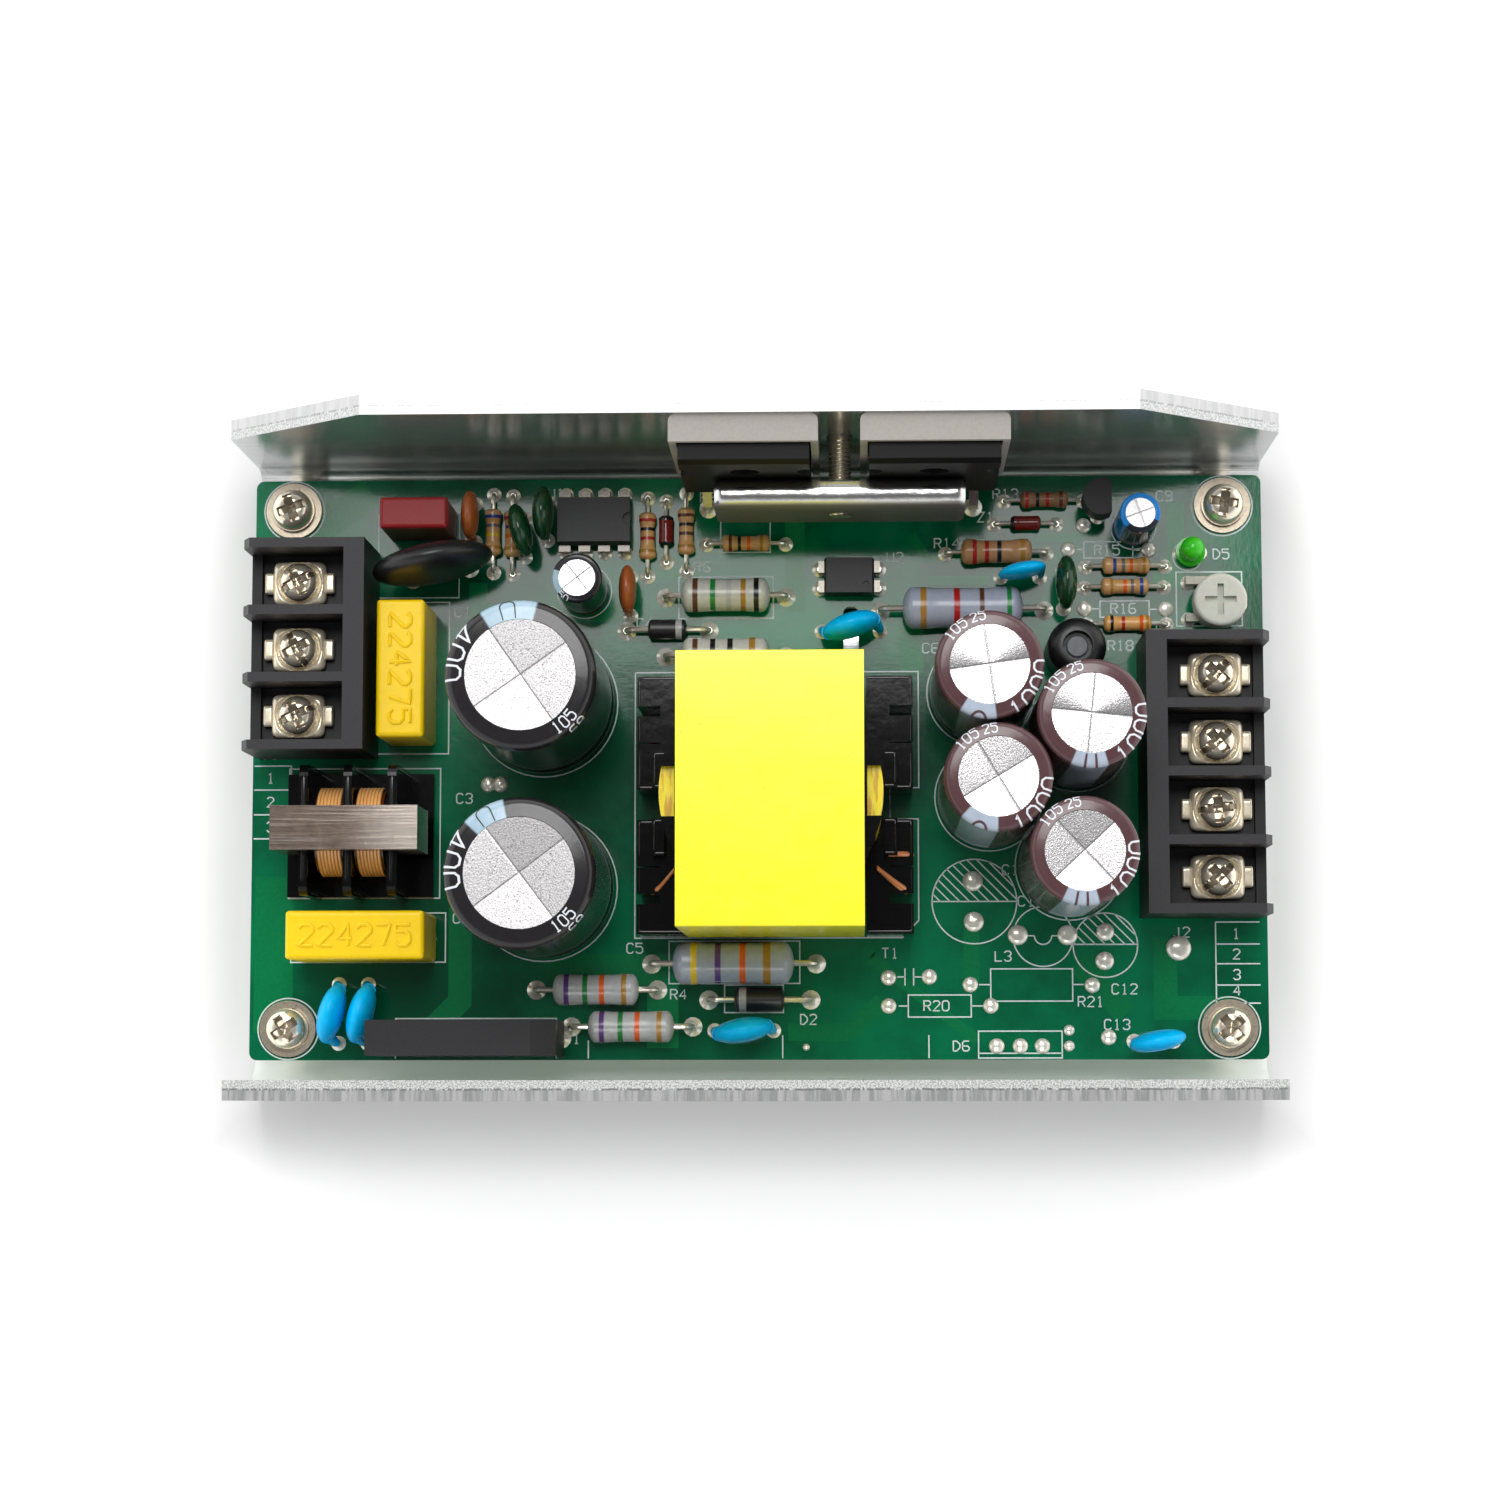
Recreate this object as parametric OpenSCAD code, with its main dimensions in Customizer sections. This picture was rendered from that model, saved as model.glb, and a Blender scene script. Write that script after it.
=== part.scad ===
// Open-frame switching power supply: a populated circuit board on a folded aluminium bracket.
// The origin is the centre of the bracket's underside. X runs along the board, Y points at the flange
// that cools the power devices, Z is up. All sizes are in millimetres.
// Board places are [x, y, turn], measured on the board's top face.

/* [Bracket] */
// Reach of the bracket past each short edge of the board
bracket_over = 0.5; // [0:0.1:10]
// Gap from the board's long edges to the flanges
board_gap = 2.5; // [2:0.1:6]
// Sheet thickness
sheet_t = 2.5; // [1.5:0.1:3]
// Inside radius of the two bends
bend_r = 4; // [1:0.5:4]
// Flange height at mid length
flange_h = 41; // [40.5:0.5:50]
// Flange height at the ends
flange_end_h = 25.5; // [15:0.5:35]
// Length of the sloped cut at each flange end
flange_slope = 18.5; // [5:0.5:30]

/* [Board] */
// Board length
board_l = 130; // [110:0.5:160]
// Board depth
board_d = 75; // [65:0.5:95]
// Board thickness
board_t = 1.6; // [1:0.1:2.4]
// Corner radius of the board
board_r = 1; // [0.5:0.1:3]
// Distance of the board's fixing holes from its short edges
fix_x = 5; // [4.5:0.1:6]
// Distance of the board's fixing holes from its long edges
fix_y = 4; // [4:0.1:5]
// Width of the isolation slot
slot_w = 2; // [1:0.1:2.5]
// Length of the isolation slot
slot_l = 6.5; // [3:0.5:7]

/* [Fixings] */
// Height of the standoffs
standoff_h = 6; // [6:0.5:12]
// Outside diameter of the standoffs
standoff_d = 5; // [4.5:0.1:5]
// Diameter of the shank pressed into the bracket
standoff_shank_d = 4.2; // [3.8:0.1:4.8]
// Diameter of the board screws
screw_d = 3; // [2.5:0.1:3.2]
// Length of the board screws under the head
screw_l = 8; // [6:0.5:9]
// Head diameter of the board screws
screw_head_d = 5.2; // [4.6:0.1:6]
// Head height of the board screws
screw_head_h = 2.1; // [1.6:0.1:2.6]
// Outside diameter of the flat washers
washer_d = 7.2; // [6.6:0.1:7.6]
// Thickness of the flat washers
washer_t = 0.6; // [0.4:0.1:1]
// Outside diameter of the spring washers
spring_d = 5.6; // [5:0.1:6.2]
// Thickness of the spring washers
spring_t = 0.8; // [0.5:0.1:1.2]

/* [Power devices] */
// Distance of each power device from the clamp screw
device_dx = 11.6; // [11.4:0.1:14]
// Width of a power device
device_w = 15.9; // [14:0.1:16]
// Thickness of a power device
device_t = 5; // [4:0.1:5.6]
// Height of a power device's package
device_h = 21; // [18:0.5:22]
// Height of the package's foot over the board
device_z = 8; // [7:0.5:9]
// Diameter of the package's mounting hole
device_hole_d = 3.6; // [3:0.1:4]
// Distance of the mounting hole from the package's upper end
device_hole_drop = 6.2; // [4:0.1:7]
// Pitch of the package's leads
device_pitch = 5.45; // [4:0.05:6]
// Wall of the insulating caps
cap_wall = 0.9; // [0.5:0.1:1.2]
// Depth of the insulating caps
cap_depth = 3.4; // [2.5:0.1:4.5]
// Length of the clamp bar
bar_l = 31; // [28:0.5:36]
// Thickness of the clamp bar
bar_t = 4; // [3:0.1:5]
// Height of the clamp bar
bar_h = 10.5; // [8:0.5:11]
// Height of the clamp bar's middle over the board
bar_z = 14.8; // [14.5:0.1:17]
// Diameter of the clamp screw
clamp_screw_d = 3; // [2.5:0.1:4]

/* [Terminal blocks] */
// Pitch of the terminals
pole_pitch = 8.5; // [8:0.05:8.8]
// Terminals on the input block
input_poles = 3; // [2:1:3]
// Terminals on the output block
output_poles = 4; // [2:1:4]
// Depth of the block's body
block_d = 15.3; // [14.8:0.1:15.6]
// Reach of the partitions past the body
block_tip = 0.2; // [0.1:0.1:0.6]
// Height of the partitions and of the back wall
block_h = 14; // [13:0.5:18]
// Thickness of the partitions
block_wall = 1.2; // [0.8:0.1:1.5]
// Thickness of the back wall
block_back = 2.6; // [1.5:0.1:2.8]
// Height of the cell floor over the board
block_floor = 6; // [5:0.1:7]
// Thickness of the low front lip
block_lip = 1.3; // [1:0.1:1.4]
// Height of the low front lip over the cell floor
block_lip_h = 1.2; // [0.5:0.1:1.6]
// Gap from the partitions' tips to the board's edge
block_edge = 0.7; // [0.2:0.1:1.5]
// Thickness of the contacts
contact_t = 0.8; // [0.6:0.1:1]
// Length and width of the contacts under the clamp plates
contact_l = 5.2; // [4.6:0.1:5.6]
contact_w = 4.6; // [4.2:0.1:5.2]
// Thickness of the clamp plates
plate_t = 0.9; // [0.6:0.1:1.2]
// Length and width of the clamp plates
plate_l = 6.7; // [6:0.1:7]
plate_w = 5.6; // [5:0.1:6.4]
// Reach of the plates' side tabs from the screw
plate_reach = 4.1; // [3.6:0.1:4.3]
// Width of the side tabs
tab_w = 2.6; // [2:0.1:3]
// Place of the terminal screws in front of the back wall
pole_screw_x = 6.6; // [6:0.1:6.8]
// Diameter of the terminal screws
pole_screw_d = 3; // [2.5:0.1:3.5]
// Head diameter of the terminal screws
pole_head_d = 5.4; // [5:0.1:6]
// Head height of the terminal screws
pole_head_h = 2; // [1.5:0.1:2.4]

/* [Transformer] */
// Length of the core along Y
core_l = 32; // [30:0.5:32]
// Width of the core along X
core_w = 22; // [20:0.5:22.5]
// Height of the pair of core halves
core_h = 30.4; // [26:0.2:34]
// Thickness of the core's upper and lower plates
core_plate = 4.5; // [3.5:0.1:6]
// Diameter of the core's centre leg
core_leg_d = 13.4; // [11:0.1:14]
// Diameter of the core's winding window
core_window_d = 27.5; // [25:0.1:28]
// Height of the core's foot over the board
core_z = 4.2; // [3.5:0.1:6]
// Thickness of the bobbin's flanges and tube
bobbin_t = 1; // [0.6:0.1:1.4]
// Reach of the bobbin's pin rails from its middle
rail_reach = 17.3; // [16.8:0.1:18]
// Half length of the pin rails
rail_half_l = 16.2; // [15:0.1:16.4]
// Half width of the gap in the middle of each rail
rail_gap = 1.9; // [1.5:0.1:2.6]
// Distance from a rail's inner end to its first pin
rail_start = 3; // [2.4:0.1:3.4]
// Height of the raised blocks on the rails
rail_step = 2.4; // [1:0.1:3]
// Half width of the notch in the bobbin's upper flange
flange_gap = 3; // [2:0.1:4]
// Pitch of the transformer's pins
rail_pitch = 4.6; // [4:0.1:5]
// Thickness of the tape wrap
tape_t = 0.3; // [0.2:0.05:0.5]

/* [Line choke] */
// Length of the choke's core frame
choke_l = 18.4; // [17:0.1:19]
// Width of the core frame across Y
choke_w = 5.5; // [4:0.1:6]
// Leg thickness of the core frame
choke_leg = 3; // [2.4:0.1:3.2]
// Diameter of the windings
coil_d = 11.3; // [10.5:0.1:12]
// Length of each winding
coil_l = 3.5; // [3:0.1:3.6]
// Thickness of the choke bobbin's flanges and tube
choke_flange = 1.1; // [0.8:0.1:1.3]
// Width of the choke bobbin's flanges across Y
choke_flange_w = 16.4; // [14:0.1:16.8]
// Length and width of the choke bobbin's base plate
choke_base_l = 18.8; // [17:0.1:19]
choke_base_w = 15.8; // [14:0.1:16.4]

/* [Capacitors] */
// Diameter of the bulk capacitors
bulk_d = 18.2; // [14:0.1:19]
// Height of the bulk capacitors
bulk_h = 31.5; // [20:0.5:36]
// Diameter of the output capacitors
output_d = 13.1; // [10:0.1:13.2]
// Height of the output capacitors
output_h = 30; // [16:0.5:34]
// Gap between neighbouring output capacitors
output_gap = 0.4; // [0.3:0.1:0.6]
// Length of the yellow line capacitors
line_l = 17.4; // [15:0.1:17.6]
// Thickness of the yellow line capacitors
line_t = 6.1; // [5:0.1:6.4]
// Height of the yellow line capacitors
line_h = 12; // [9:0.5:15]
// Diameter of the blue disc capacitors
disc_d = 8.4; // [6:0.1:8.6]
// Diameter of the snubber's disc
snubber_disc_d = 7.6; // [6.6:0.1:8.4]
// Thickness of the blue disc capacitors
disc_t = 3.3; // [2.4:0.1:3.4]
// Width, thickness and height of the red film capacitor
film_w = 8.6; // [7:0.1:9]
film_t = 4; // [3:0.1:4.4]
film_h = 10; // [7:0.5:13]
// Diameter and height of the supply capacitor
supply_d = 6.3; // [5:0.1:6.6]
supply_h = 12; // [8:0.5:15]
// Diameter and height of the feedback capacitor
feedback_d = 5.1; // [4:0.1:5.4]
feedback_h = 11; // [7:0.5:14]
// Diameter and thickness of the output disc capacitor
output_disc_d = 7.2; // [6:0.1:7.6]
output_disc_t = 2.6; // [2:0.1:3]
// Diameter and thickness of the filter disc capacitor
filter_disc_d = 6; // [5.6:0.1:6.4]
filter_disc_t = 2; // [1.8:0.1:2.2]
// Diameter and thickness of the brown disc capacitors
brown_disc_d = 6.2; // [5.8:0.1:6.6]
brown_disc_t = 2.2; // [1.8:0.1:2.4]
// Width, thickness and height of the green film capacitors
green_w = 6.8; // [6:0.1:7]
green_t = 2.7; // [2:0.1:2.7]
green_h = 7; // [5:0.1:8]
// Diameter of the thermistor disc
thermistor_d = 15.4; // [12:0.1:15.5]
// Thickness of the thermistor disc
thermistor_t = 4.6; // [3.5:0.1:5]
// Heights of the dipped parts over the board
thermistor_lift = 1.4; // [1:0.1:3]
disc_lift = 2.5; // [1.5:0.1:4]
low_disc_lift = 2; // [1.5:0.1:4]
filter_disc_lift = 3.5; // [2:0.1:4]
brown_disc_lift = 3.4; // [2:0.1:4]
green_lift = 3.4; // [3:0.1:4]

/* [Resistors and diodes] */
// Body length and diameter of the three-watt resistors
three_watt_l = 15.4; // [13:0.1:16]
three_watt_d = 5.4; // [4.5:0.1:5.6]
// Body length and diameter of the two-watt resistors
two_watt_l = 11.5; // [10:0.1:12]
two_watt_d = 4.4; // [3.8:0.1:4.6]
// Body length and diameter of the bleed resistors
bleed_l = 11; // [9:0.1:11.5]
bleed_d = 4; // [3.2:0.1:4.4]
// Body length and diameter of the one-watt resistor
one_watt_l = 9.2; // [8:0.1:9.6]
one_watt_d = 3.3; // [2.6:0.1:3.5]
// Body length and diameter of the small resistors
small_l = 6.2; // [5:0.1:6.6]
small_d = 2.2; // [1.6:0.1:2.3]

// Body length and diameter of the larger power diode
diode_l = 6.4; // [5.5:0.1:6.8]
diode_d = 3.1; // [2.6:0.1:3.2]
// Body length and diameter of the smaller power diode
small_diode_l = 5; // [4.5:0.1:5.4]
small_diode_d = 2.6; // [2.2:0.1:2.8]
// Body length and diameter of the glass diodes
glass_l = 4; // [3.4:0.1:4.2]
glass_d = 1.9; // [1.6:0.1:2]

/* [Packages] */
// Length, width and height of the controller chip
chip_l = 9.3; // [9:0.1:9.6]
chip_w = 6.3; // [6:0.1:6.5]
chip_h = 3.4; // [3:0.1:3.8]
// Width, length and height of the optocoupler
opto_l = 4.5; // [4.4:0.1:4.8]
opto_w = 6.4; // [6:0.1:6.6]
opto_h = 3.5; // [3:0.1:3.8]
// Diameter and height of the regulator's package
regulator_d = 4.7; // [4.4:0.1:5]
regulator_h = 4.7; // [4.4:0.1:5.2]
// Height of the regulator's package over the board
regulator_lift = 4; // [2:0.1:5]
// Width, thickness and height of the bridge rectifier
bridge_w = 23.4; // [23:0.1:23.5]
bridge_t = 4.4; // [4:0.1:4.6]
bridge_h = 14.5; // [12:0.5:17]
// Diameter and height of the output choke
drum_d = 7.4; // [7:0.1:7.5]
drum_h = 9; // [7:0.5:11]
// Diameter of the lamp's dome and its height
lamp_d = 3; // [2.8:0.1:3.2]
lamp_h = 5.1; // [4.4:0.1:5.6]

/* [Trimmer] */
// Diameter of the turning rotor
rotor_d = 6.8; // [6:0.1:7]
// Height of the rotor
rotor_h = 3; // [2.4:0.1:4]
// Diameter of the pivot post
pivot_d = 2; // [1.5:0.1:3]
// Radial running clearance of the rotor on its post
pivot_clear = 0.05; // [0.03:0.01:0.1]
// Width, thickness and height over the board of the trimmer's base
trimmer_base_w = 6.2; // [5.8:0.1:6.6]
trimmer_base_t = 1.6; // [1.2:0.1:2]
trimmer_base_z = 0.8; // [0.4:0.1:1.2]
// Height of the pivot post over the base
pivot_h = 1.6; // [1.2:0.1:1.9]

/* [Clearances] */
// Radial clearance of a lead in its board hole
lead_clear = 0.1; // [0.05:0.01:0.2]
// Radial clearance of a screw in a plain hole
hole_clear = 0.2; // [0.1:0.05:0.4]
// Radial clearance that stands for a thread
thread_clear = 0.05; // [0.03:0.01:0.1]
// Clearance between pieces that slip together
slip = 0.2; // [0.1:0.05:0.25]
// Length of the leads under the board
lead_stub = 1.5; // [1:0.1:1.8]

/* [Hidden] */
$fn = 48;

// Lead diameters
thin_lead = 0.6;
stout_lead = 0.8;
// Half width of the flat band round a disc
rim = 0.6;
// Overcut of a tool past the face it opens
over = 1;

board_z = sheet_t + standoff_h;
board_top = board_z + board_t;
rear_face = board_d / 2 + board_gap;
bracket_l = board_l + 2 * bracket_over;
bracket_d = 2 * (rear_face + sheet_t);
// The layout is drawn on a board of 130 by 75.
// A larger board spreads it, a smaller one also shrinks its parts.
spread = [board_l / 130, board_d / 75];
fit = min(1, spread[0], spread[1]);
fix_points = [for (sx = [-1, 1], sy = [-1, 1]) [sx * (board_l / 2 - fix_x), sy * (board_d / 2 - fix_y)]];
block_back_x = board_l / 2 - block_edge - fit * (block_tip + block_d);
cell_w = pole_pitch - block_wall;

// Board places
input_block = [-1, 14.5];
output_block = [1, -2];
clamp_place = [10.9, 0];
transformer = [2.6, -5.7, 0];
choke = [-50.8, -8.8, 0];
line_1 = [-44.4, 11.5, 90];
line_2 = [-49.8, -22, 0];
film = [-43.2, 31.6, 0];
thermistor = [-40.8, 25.2, 11];
bridge = [-36.2, -34.8, 0];
bulk_places = [[-27.3, -15.5, 200], [-27.3, 8.2, 200]];
output_pitch = output_d + output_gap;
output_1 = [28.8, 9.4];
output_2 = output_1 + beside(-26);
output_3 = output_1 + beside(-86);
output_4 = output_3 + beside(-41);
drum = [40.7, 14.3, 0];
supply = [-22.2, 22.8, 45];
feedback = [48.6, 30.8, 90];
chip = [-20.8, 31.6, 0];
opto = [12, 24.2, 0];
regulator = [44, 33.4, 90];
lamp = [55.8, 27.4, 0];
trimmer = [59.1, 20.6, 0];
line_discs = [[-53.5, -31.6, 90], [-49.75, -31.6, 90]];
barrier_disc = [12.2, 17.4, 0];
snubber_disc = [-1.6, -33.8, 0];
output_disc = [50.4, -35.2, 0];
filter_disc = [34, 24.3, 0];
brown_discs = [[-36.4, 31.8, 90], [-16.2, 22.1, 90]];
green_films = [[-29.9, 29.8, 90], [-27, 32, 90], [39.5, 22.7, 90]];
three_watts = [[-2.9, -25.3, 0], [26.5, 20, 0]];
two_watts = [[-3.9, 21.9, 0], [-3.9, 14.2, 0]];
bleeds = [[-20.4, -28.6, 0], [-15.9, -33.3, 0]];
one_watt = [30.9, 27.4, 0];
small_places = [[-1.3, 28.8, 0], [-14, 29.8, 90], [-9, 30.4, 90], [-34, 30.4, 90], [-31.5, 30.2, 90],
    [37.1, 34.2, 0], [47.5, 25.6, 0], [47.3, 22.9, 0], [47.6, 18.1, 0]];
power_diode_places = [[0.4, -29.9, 180], [-11.4, 17.6, 0]];
glass_diode_places = [[-11.6, 30.5, 90], [34.7, 31.2, 0]];

// Lead pitches
line_pitch = 15;
film_pitch = 5;
thermistor_pitch = 7.5;
bridge_pitch = 7.5;
bulk_pitch = 7.5;
output_lead_pitch = 5;
drum_pitch = 5;
supply_pitch = 2.5;
disc_pitch = 7.5;
filter_pitch = 5;
green_pitch = 5;
three_watt_pitch = 21;
two_watt_pitch = 15.5;
one_watt_pitch = 13;
small_pitch = 10.2;
power_diode_pitch = 13;
second_diode_pitch = 10.6;
glass_pitch = 8;
lamp_pitch = 2.54;
regulator_pitch = 1.27;
chip_pitch = 2.54;
chip_row = 7.62;
// Height of the dual-in-line packages over the board
chip_foot = 0.6;

// Step from one output capacitor to the next, at angle a
function beside(a) = output_pitch * [cos(a), sin(a)];

// Points of an arc round c from angle a0 to a1
function arc(c, r, a0, a1, n = 5) =
    [for (i = [0:n]) c + r * [cos(a0 + (a1 - a0) * i / n), sin(a0 + (a1 - a0) * i / n)]];

// Outline of a rectangle with round corners
function round_rect(w, d, r) = concat(
    arc([w / 2 - r, d / 2 - r], r, 0, 90), arc([-w / 2 + r, d / 2 - r], r, 90, 180),
    arc([-w / 2 + r, -d / 2 + r], r, 180, 270), arc([w / 2 - r, -d / 2 + r], r, 270, 360));

// Outline of a wall with its two upper corners round, standing on y = 0
function arch(w, h, r) = concat([[-w / 2, 0], [w / 2, 0]],
    arc([w / 2 - r, h - r], r, 0, 90), arc([-w / 2 + r, h - r], r, 90, 180));

// Half section of a body turned on Z, from z = 0 to z = l, with ends thicker than its waist
function barrel(l, d, waist, cap) = concat([[0, 0]],
    arc([d / 2 - cap / 3, cap / 3], cap / 3, -90, 0, 3), [[d / 2, cap], [waist / 2, cap * 1.4]],
    [[waist / 2, l - cap * 1.4], [d / 2, l - cap]],
    arc([d / 2 - cap / 3, l - cap / 3], cap / 3, 0, 90, 3), [[0, l]]);

// Half section of a dipped disc of diameter d and thickness t, centred on z = 0, with a flat band at its rim
function lens(d, t) = concat([[0, -t / 2]],
    [for (a = [-90:18:0]) [d / 2 - (1 - cos(a)) * d * 0.25, (t / 2 - rim) * sin(a) - rim]],
    [for (a = [0:18:90]) [d / 2 - (1 - cos(a)) * d * 0.25, (t / 2 - rim) * sin(a) + rim]], [[0, t / 2]]);

// Half section of a sleeved can: crimp groove near the foot, sleeve rolled over the rim, sunk top
function can(d, h, roll, groove_z, lip, sink) = concat([[0, 0]],
    arc([d / 2 - roll, roll], roll, -90, 0, 4),
    arc([d / 2 + roll * 0.5, groove_z], roll, 240, 120, 6),
    arc([d / 2 - roll, h - roll], roll, 0, 90, 4),
    [[d / 2 - lip, h], [d / 2 - lip - sink, h - sink], [0, h - sink]]);

// Moves to a board fixing
module at_fix(p) {
    translate([p[0], p[1], board_top]) children();
}

// Moves to a board place
module at(p) {
    translate([p[0] * spread[0], p[1] * spread[1], board_top]) rotate(len(p) > 2 ? p[2] : 0)
        scale(fit) children();
}

// Moves to the foot of the rear flange over the board, x along it from the clamp's place
module at_rear(x) {
    translate([clamp_place[0] * spread[0] + x * fit, rear_face, board_top]) scale(fit) children();
}

// Two copies, pitch apart on X
module pair(pitch) {
    for (s = [-1, 1]) translate([s * pitch / 2, 0, 0]) children();
}

// A straight round lead, from its cut end under the board to h above the board
module lead(d, h) {
    translate([0, 0, -board_t - lead_stub]) cylinder(d = d, h = board_t + lead_stub + h);
}

// The board hole of such a lead
module lead_hole(d) {
    translate([0, 0, -board_t - over]) cylinder(d = d + 2 * lead_clear, h = board_t + 2 * over);
}

// A box with round upright and upper edges, standing on z = 0
module soft_box(w, d, h, r) {
    intersection() {
        linear_extrude(h) polygon(round_rect(w, d, r));
        rotate([90, 0, 0]) linear_extrude(d + over, center = true) polygon(arch(w, h, r));
        rotate([90, 0, 90]) linear_extrude(w + over, center = true) polygon(arch(d, h, r));
    }
}

// Cross recess, cut down from z = 0
module cross_recess(span, width, depth) {
    for (a = [0, 90]) rotate(a) translate([-span / 2, -width / 2, -depth]) cube([span, width, depth + over]);
}

// Pan-head screw: underside of the head at z = 0, shank down to -l
module pan_screw(d, l, head_d, head_h) {
    difference() {
        union() {
            rotate_extrude() polygon(concat([[0, 0], [head_d / 2, 0], [head_d / 2, head_h * 0.45]],
                arc([head_d / 2 - head_h * 0.55, head_h * 0.45], head_h * 0.55, 15, 90), [[0, head_h]]));
            translate([0, 0, -l]) cylinder(d = d, h = l + head_h / 2);
        }
        translate([0, 0, head_h]) cross_recess(head_d * 0.62, head_d * 0.16, head_h * 0.55);
    }
}

// Flat ring on z = 0
module ring(outer, inner, t) {
    difference() {
        cylinder(d = outer, h = t);
        translate([0, 0, -over]) cylinder(d = inner, h = t + 2 * over);
    }
}

// One bent lead of a lying part: out of the body at x = start, down at x = reach
module bent_lead(d, start, reach, z) {
    bend = 1.5 * d;
    translate([start - d, 0, z]) rotate([0, 90, 0]) cylinder(d = d, h = reach - bend - start + d);
    translate([reach - bend, 0, z - bend]) rotate([90, 0, 0]) rotate_extrude(angle = 90)
        translate([bend, 0]) circle(d = d);
    translate([reach, 0, 0]) lead(d, z - bend);
}

// A lying part of length l and diameter d, given as a half section along its axis
module lying_part(section, l, d, pitch, lead_d) {
    z = d / 2 + slip;
    translate([-l / 2, 0, z]) rotate([0, 90, 0]) rotate_extrude() polygon(section);
    bent_lead(lead_d, l / 2, pitch / 2, z);
    mirror([1, 0, 0]) bent_lead(lead_d, l / 2, pitch / 2, z);
}

module resistor(l, d, pitch, lead_d) {
    lying_part(barrel(l, d, d * 0.9, l * 0.16), l, d, pitch, lead_d);
}

module diode(l, d, pitch, lead_d) {
    lying_part(barrel(l, d, d * 0.98, l * 0.1), l, d, pitch, lead_d);
}

// A dipped disc standing on two leads
module disc_part(d, t, pitch, lift) {
    translate([0, 0, lift + d / 2]) rotate([90, 0, 0]) rotate_extrude() polygon(lens(d, t));
    pair(pitch) lead(thin_lead, lift + d * 0.3);
}

// A dipped film capacitor: rounded slab on two leads
module dipped_slab(w, t, h, lift) {
    r = t * 0.45;
    translate([0, 0, lift]) hull() for (sx = [-1, 1], sy = [-1, 1], z = [r, h - r])
        translate([sx * (w / 2 - r), sy * (t / 2 - r), z]) sphere(r, $fn = 20);
    pair(green_pitch) lead(thin_lead, lift + h / 3);
}

// A sleeved electrolytic capacitor with a scored top
module electrolytic(d, h, pitch, lead_d, score) {
    roll = d * 0.05;
    lip = d * 0.12;
    score_l = d - lip * 2.6;
    sink = 0.25;
    score_w = 0.3;
    translate([0, 0, slip]) difference() {
        rotate_extrude() polygon(can(d, h, roll, d * 0.22, lip, sink));
        for (a = [0:180 / score:179]) rotate(a + 45)
            translate([-score_l / 2, -score_w / 2, h - 2 * sink]) cube([score_l, score_w, sink + over]);
    }
    pair(pitch) lead(lead_d, slip + d * 0.1);
}

// Carrier

// Places a bend: the quarter ring between the base plate and one flange
module bend(side) {
    outer_r = bend_r + sheet_t;
    translate([0, side * (bracket_d / 2 - outer_r), outer_r]) rotate([0, 90, 0]) difference() {
        cylinder(r = outer_r, h = bracket_l, center = true);
        cylinder(r = bend_r, h = bracket_l + over, center = true);
        translate([-outer_r - over, -outer_r - over, -bracket_l])
            cube([outer_r + over, 2 * (outer_r + over), 2 * bracket_l]);
        translate([-outer_r - over, side > 0 ? -outer_r - over : 0, -bracket_l])
            cube([2 * (outer_r + over), outer_r + over, 2 * bracket_l]);
    }
}

module bracket() color("gainsboro") {
    outer_r = bend_r + sheet_t;
    flat_d = bracket_d - 2 * outer_r;
    difference() {
        union() {
            translate([-bracket_l / 2, -flat_d / 2, 0]) cube([bracket_l, flat_d, sheet_t]);
            for (side = [-1, 1]) {
                bend(side);
                translate([-bracket_l / 2, side * (bracket_d / 2 - sheet_t / 2) - sheet_t / 2, outer_r])
                    cube([bracket_l, sheet_t, flange_h - outer_r]);
            }
        }
        for (m = [0, 1]) mirror([m, 0, 0]) rotate([90, 0, 0]) linear_extrude(bracket_d + over, center = true)
            polygon([[bracket_l / 2, flange_end_h], [bracket_l / 2 - flange_slope, flange_h],
                [bracket_l / 2 - flange_slope, flange_h + over], [bracket_l / 2 + over, flange_h + over],
                [bracket_l / 2 + over, flange_end_h]]);
        for (p = fix_points) translate([p[0], p[1], -over])
            cylinder(d = standoff_shank_d + 2 * thread_clear, h = sheet_t + 2 * over);
        at_rear(0) translate([0, -over, bar_z]) rotate([-90, 0, 0])
            cylinder(d = clamp_screw_d + 2 * hole_clear, h = (sheet_t + 2 * over) / fit);
    }
}

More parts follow.
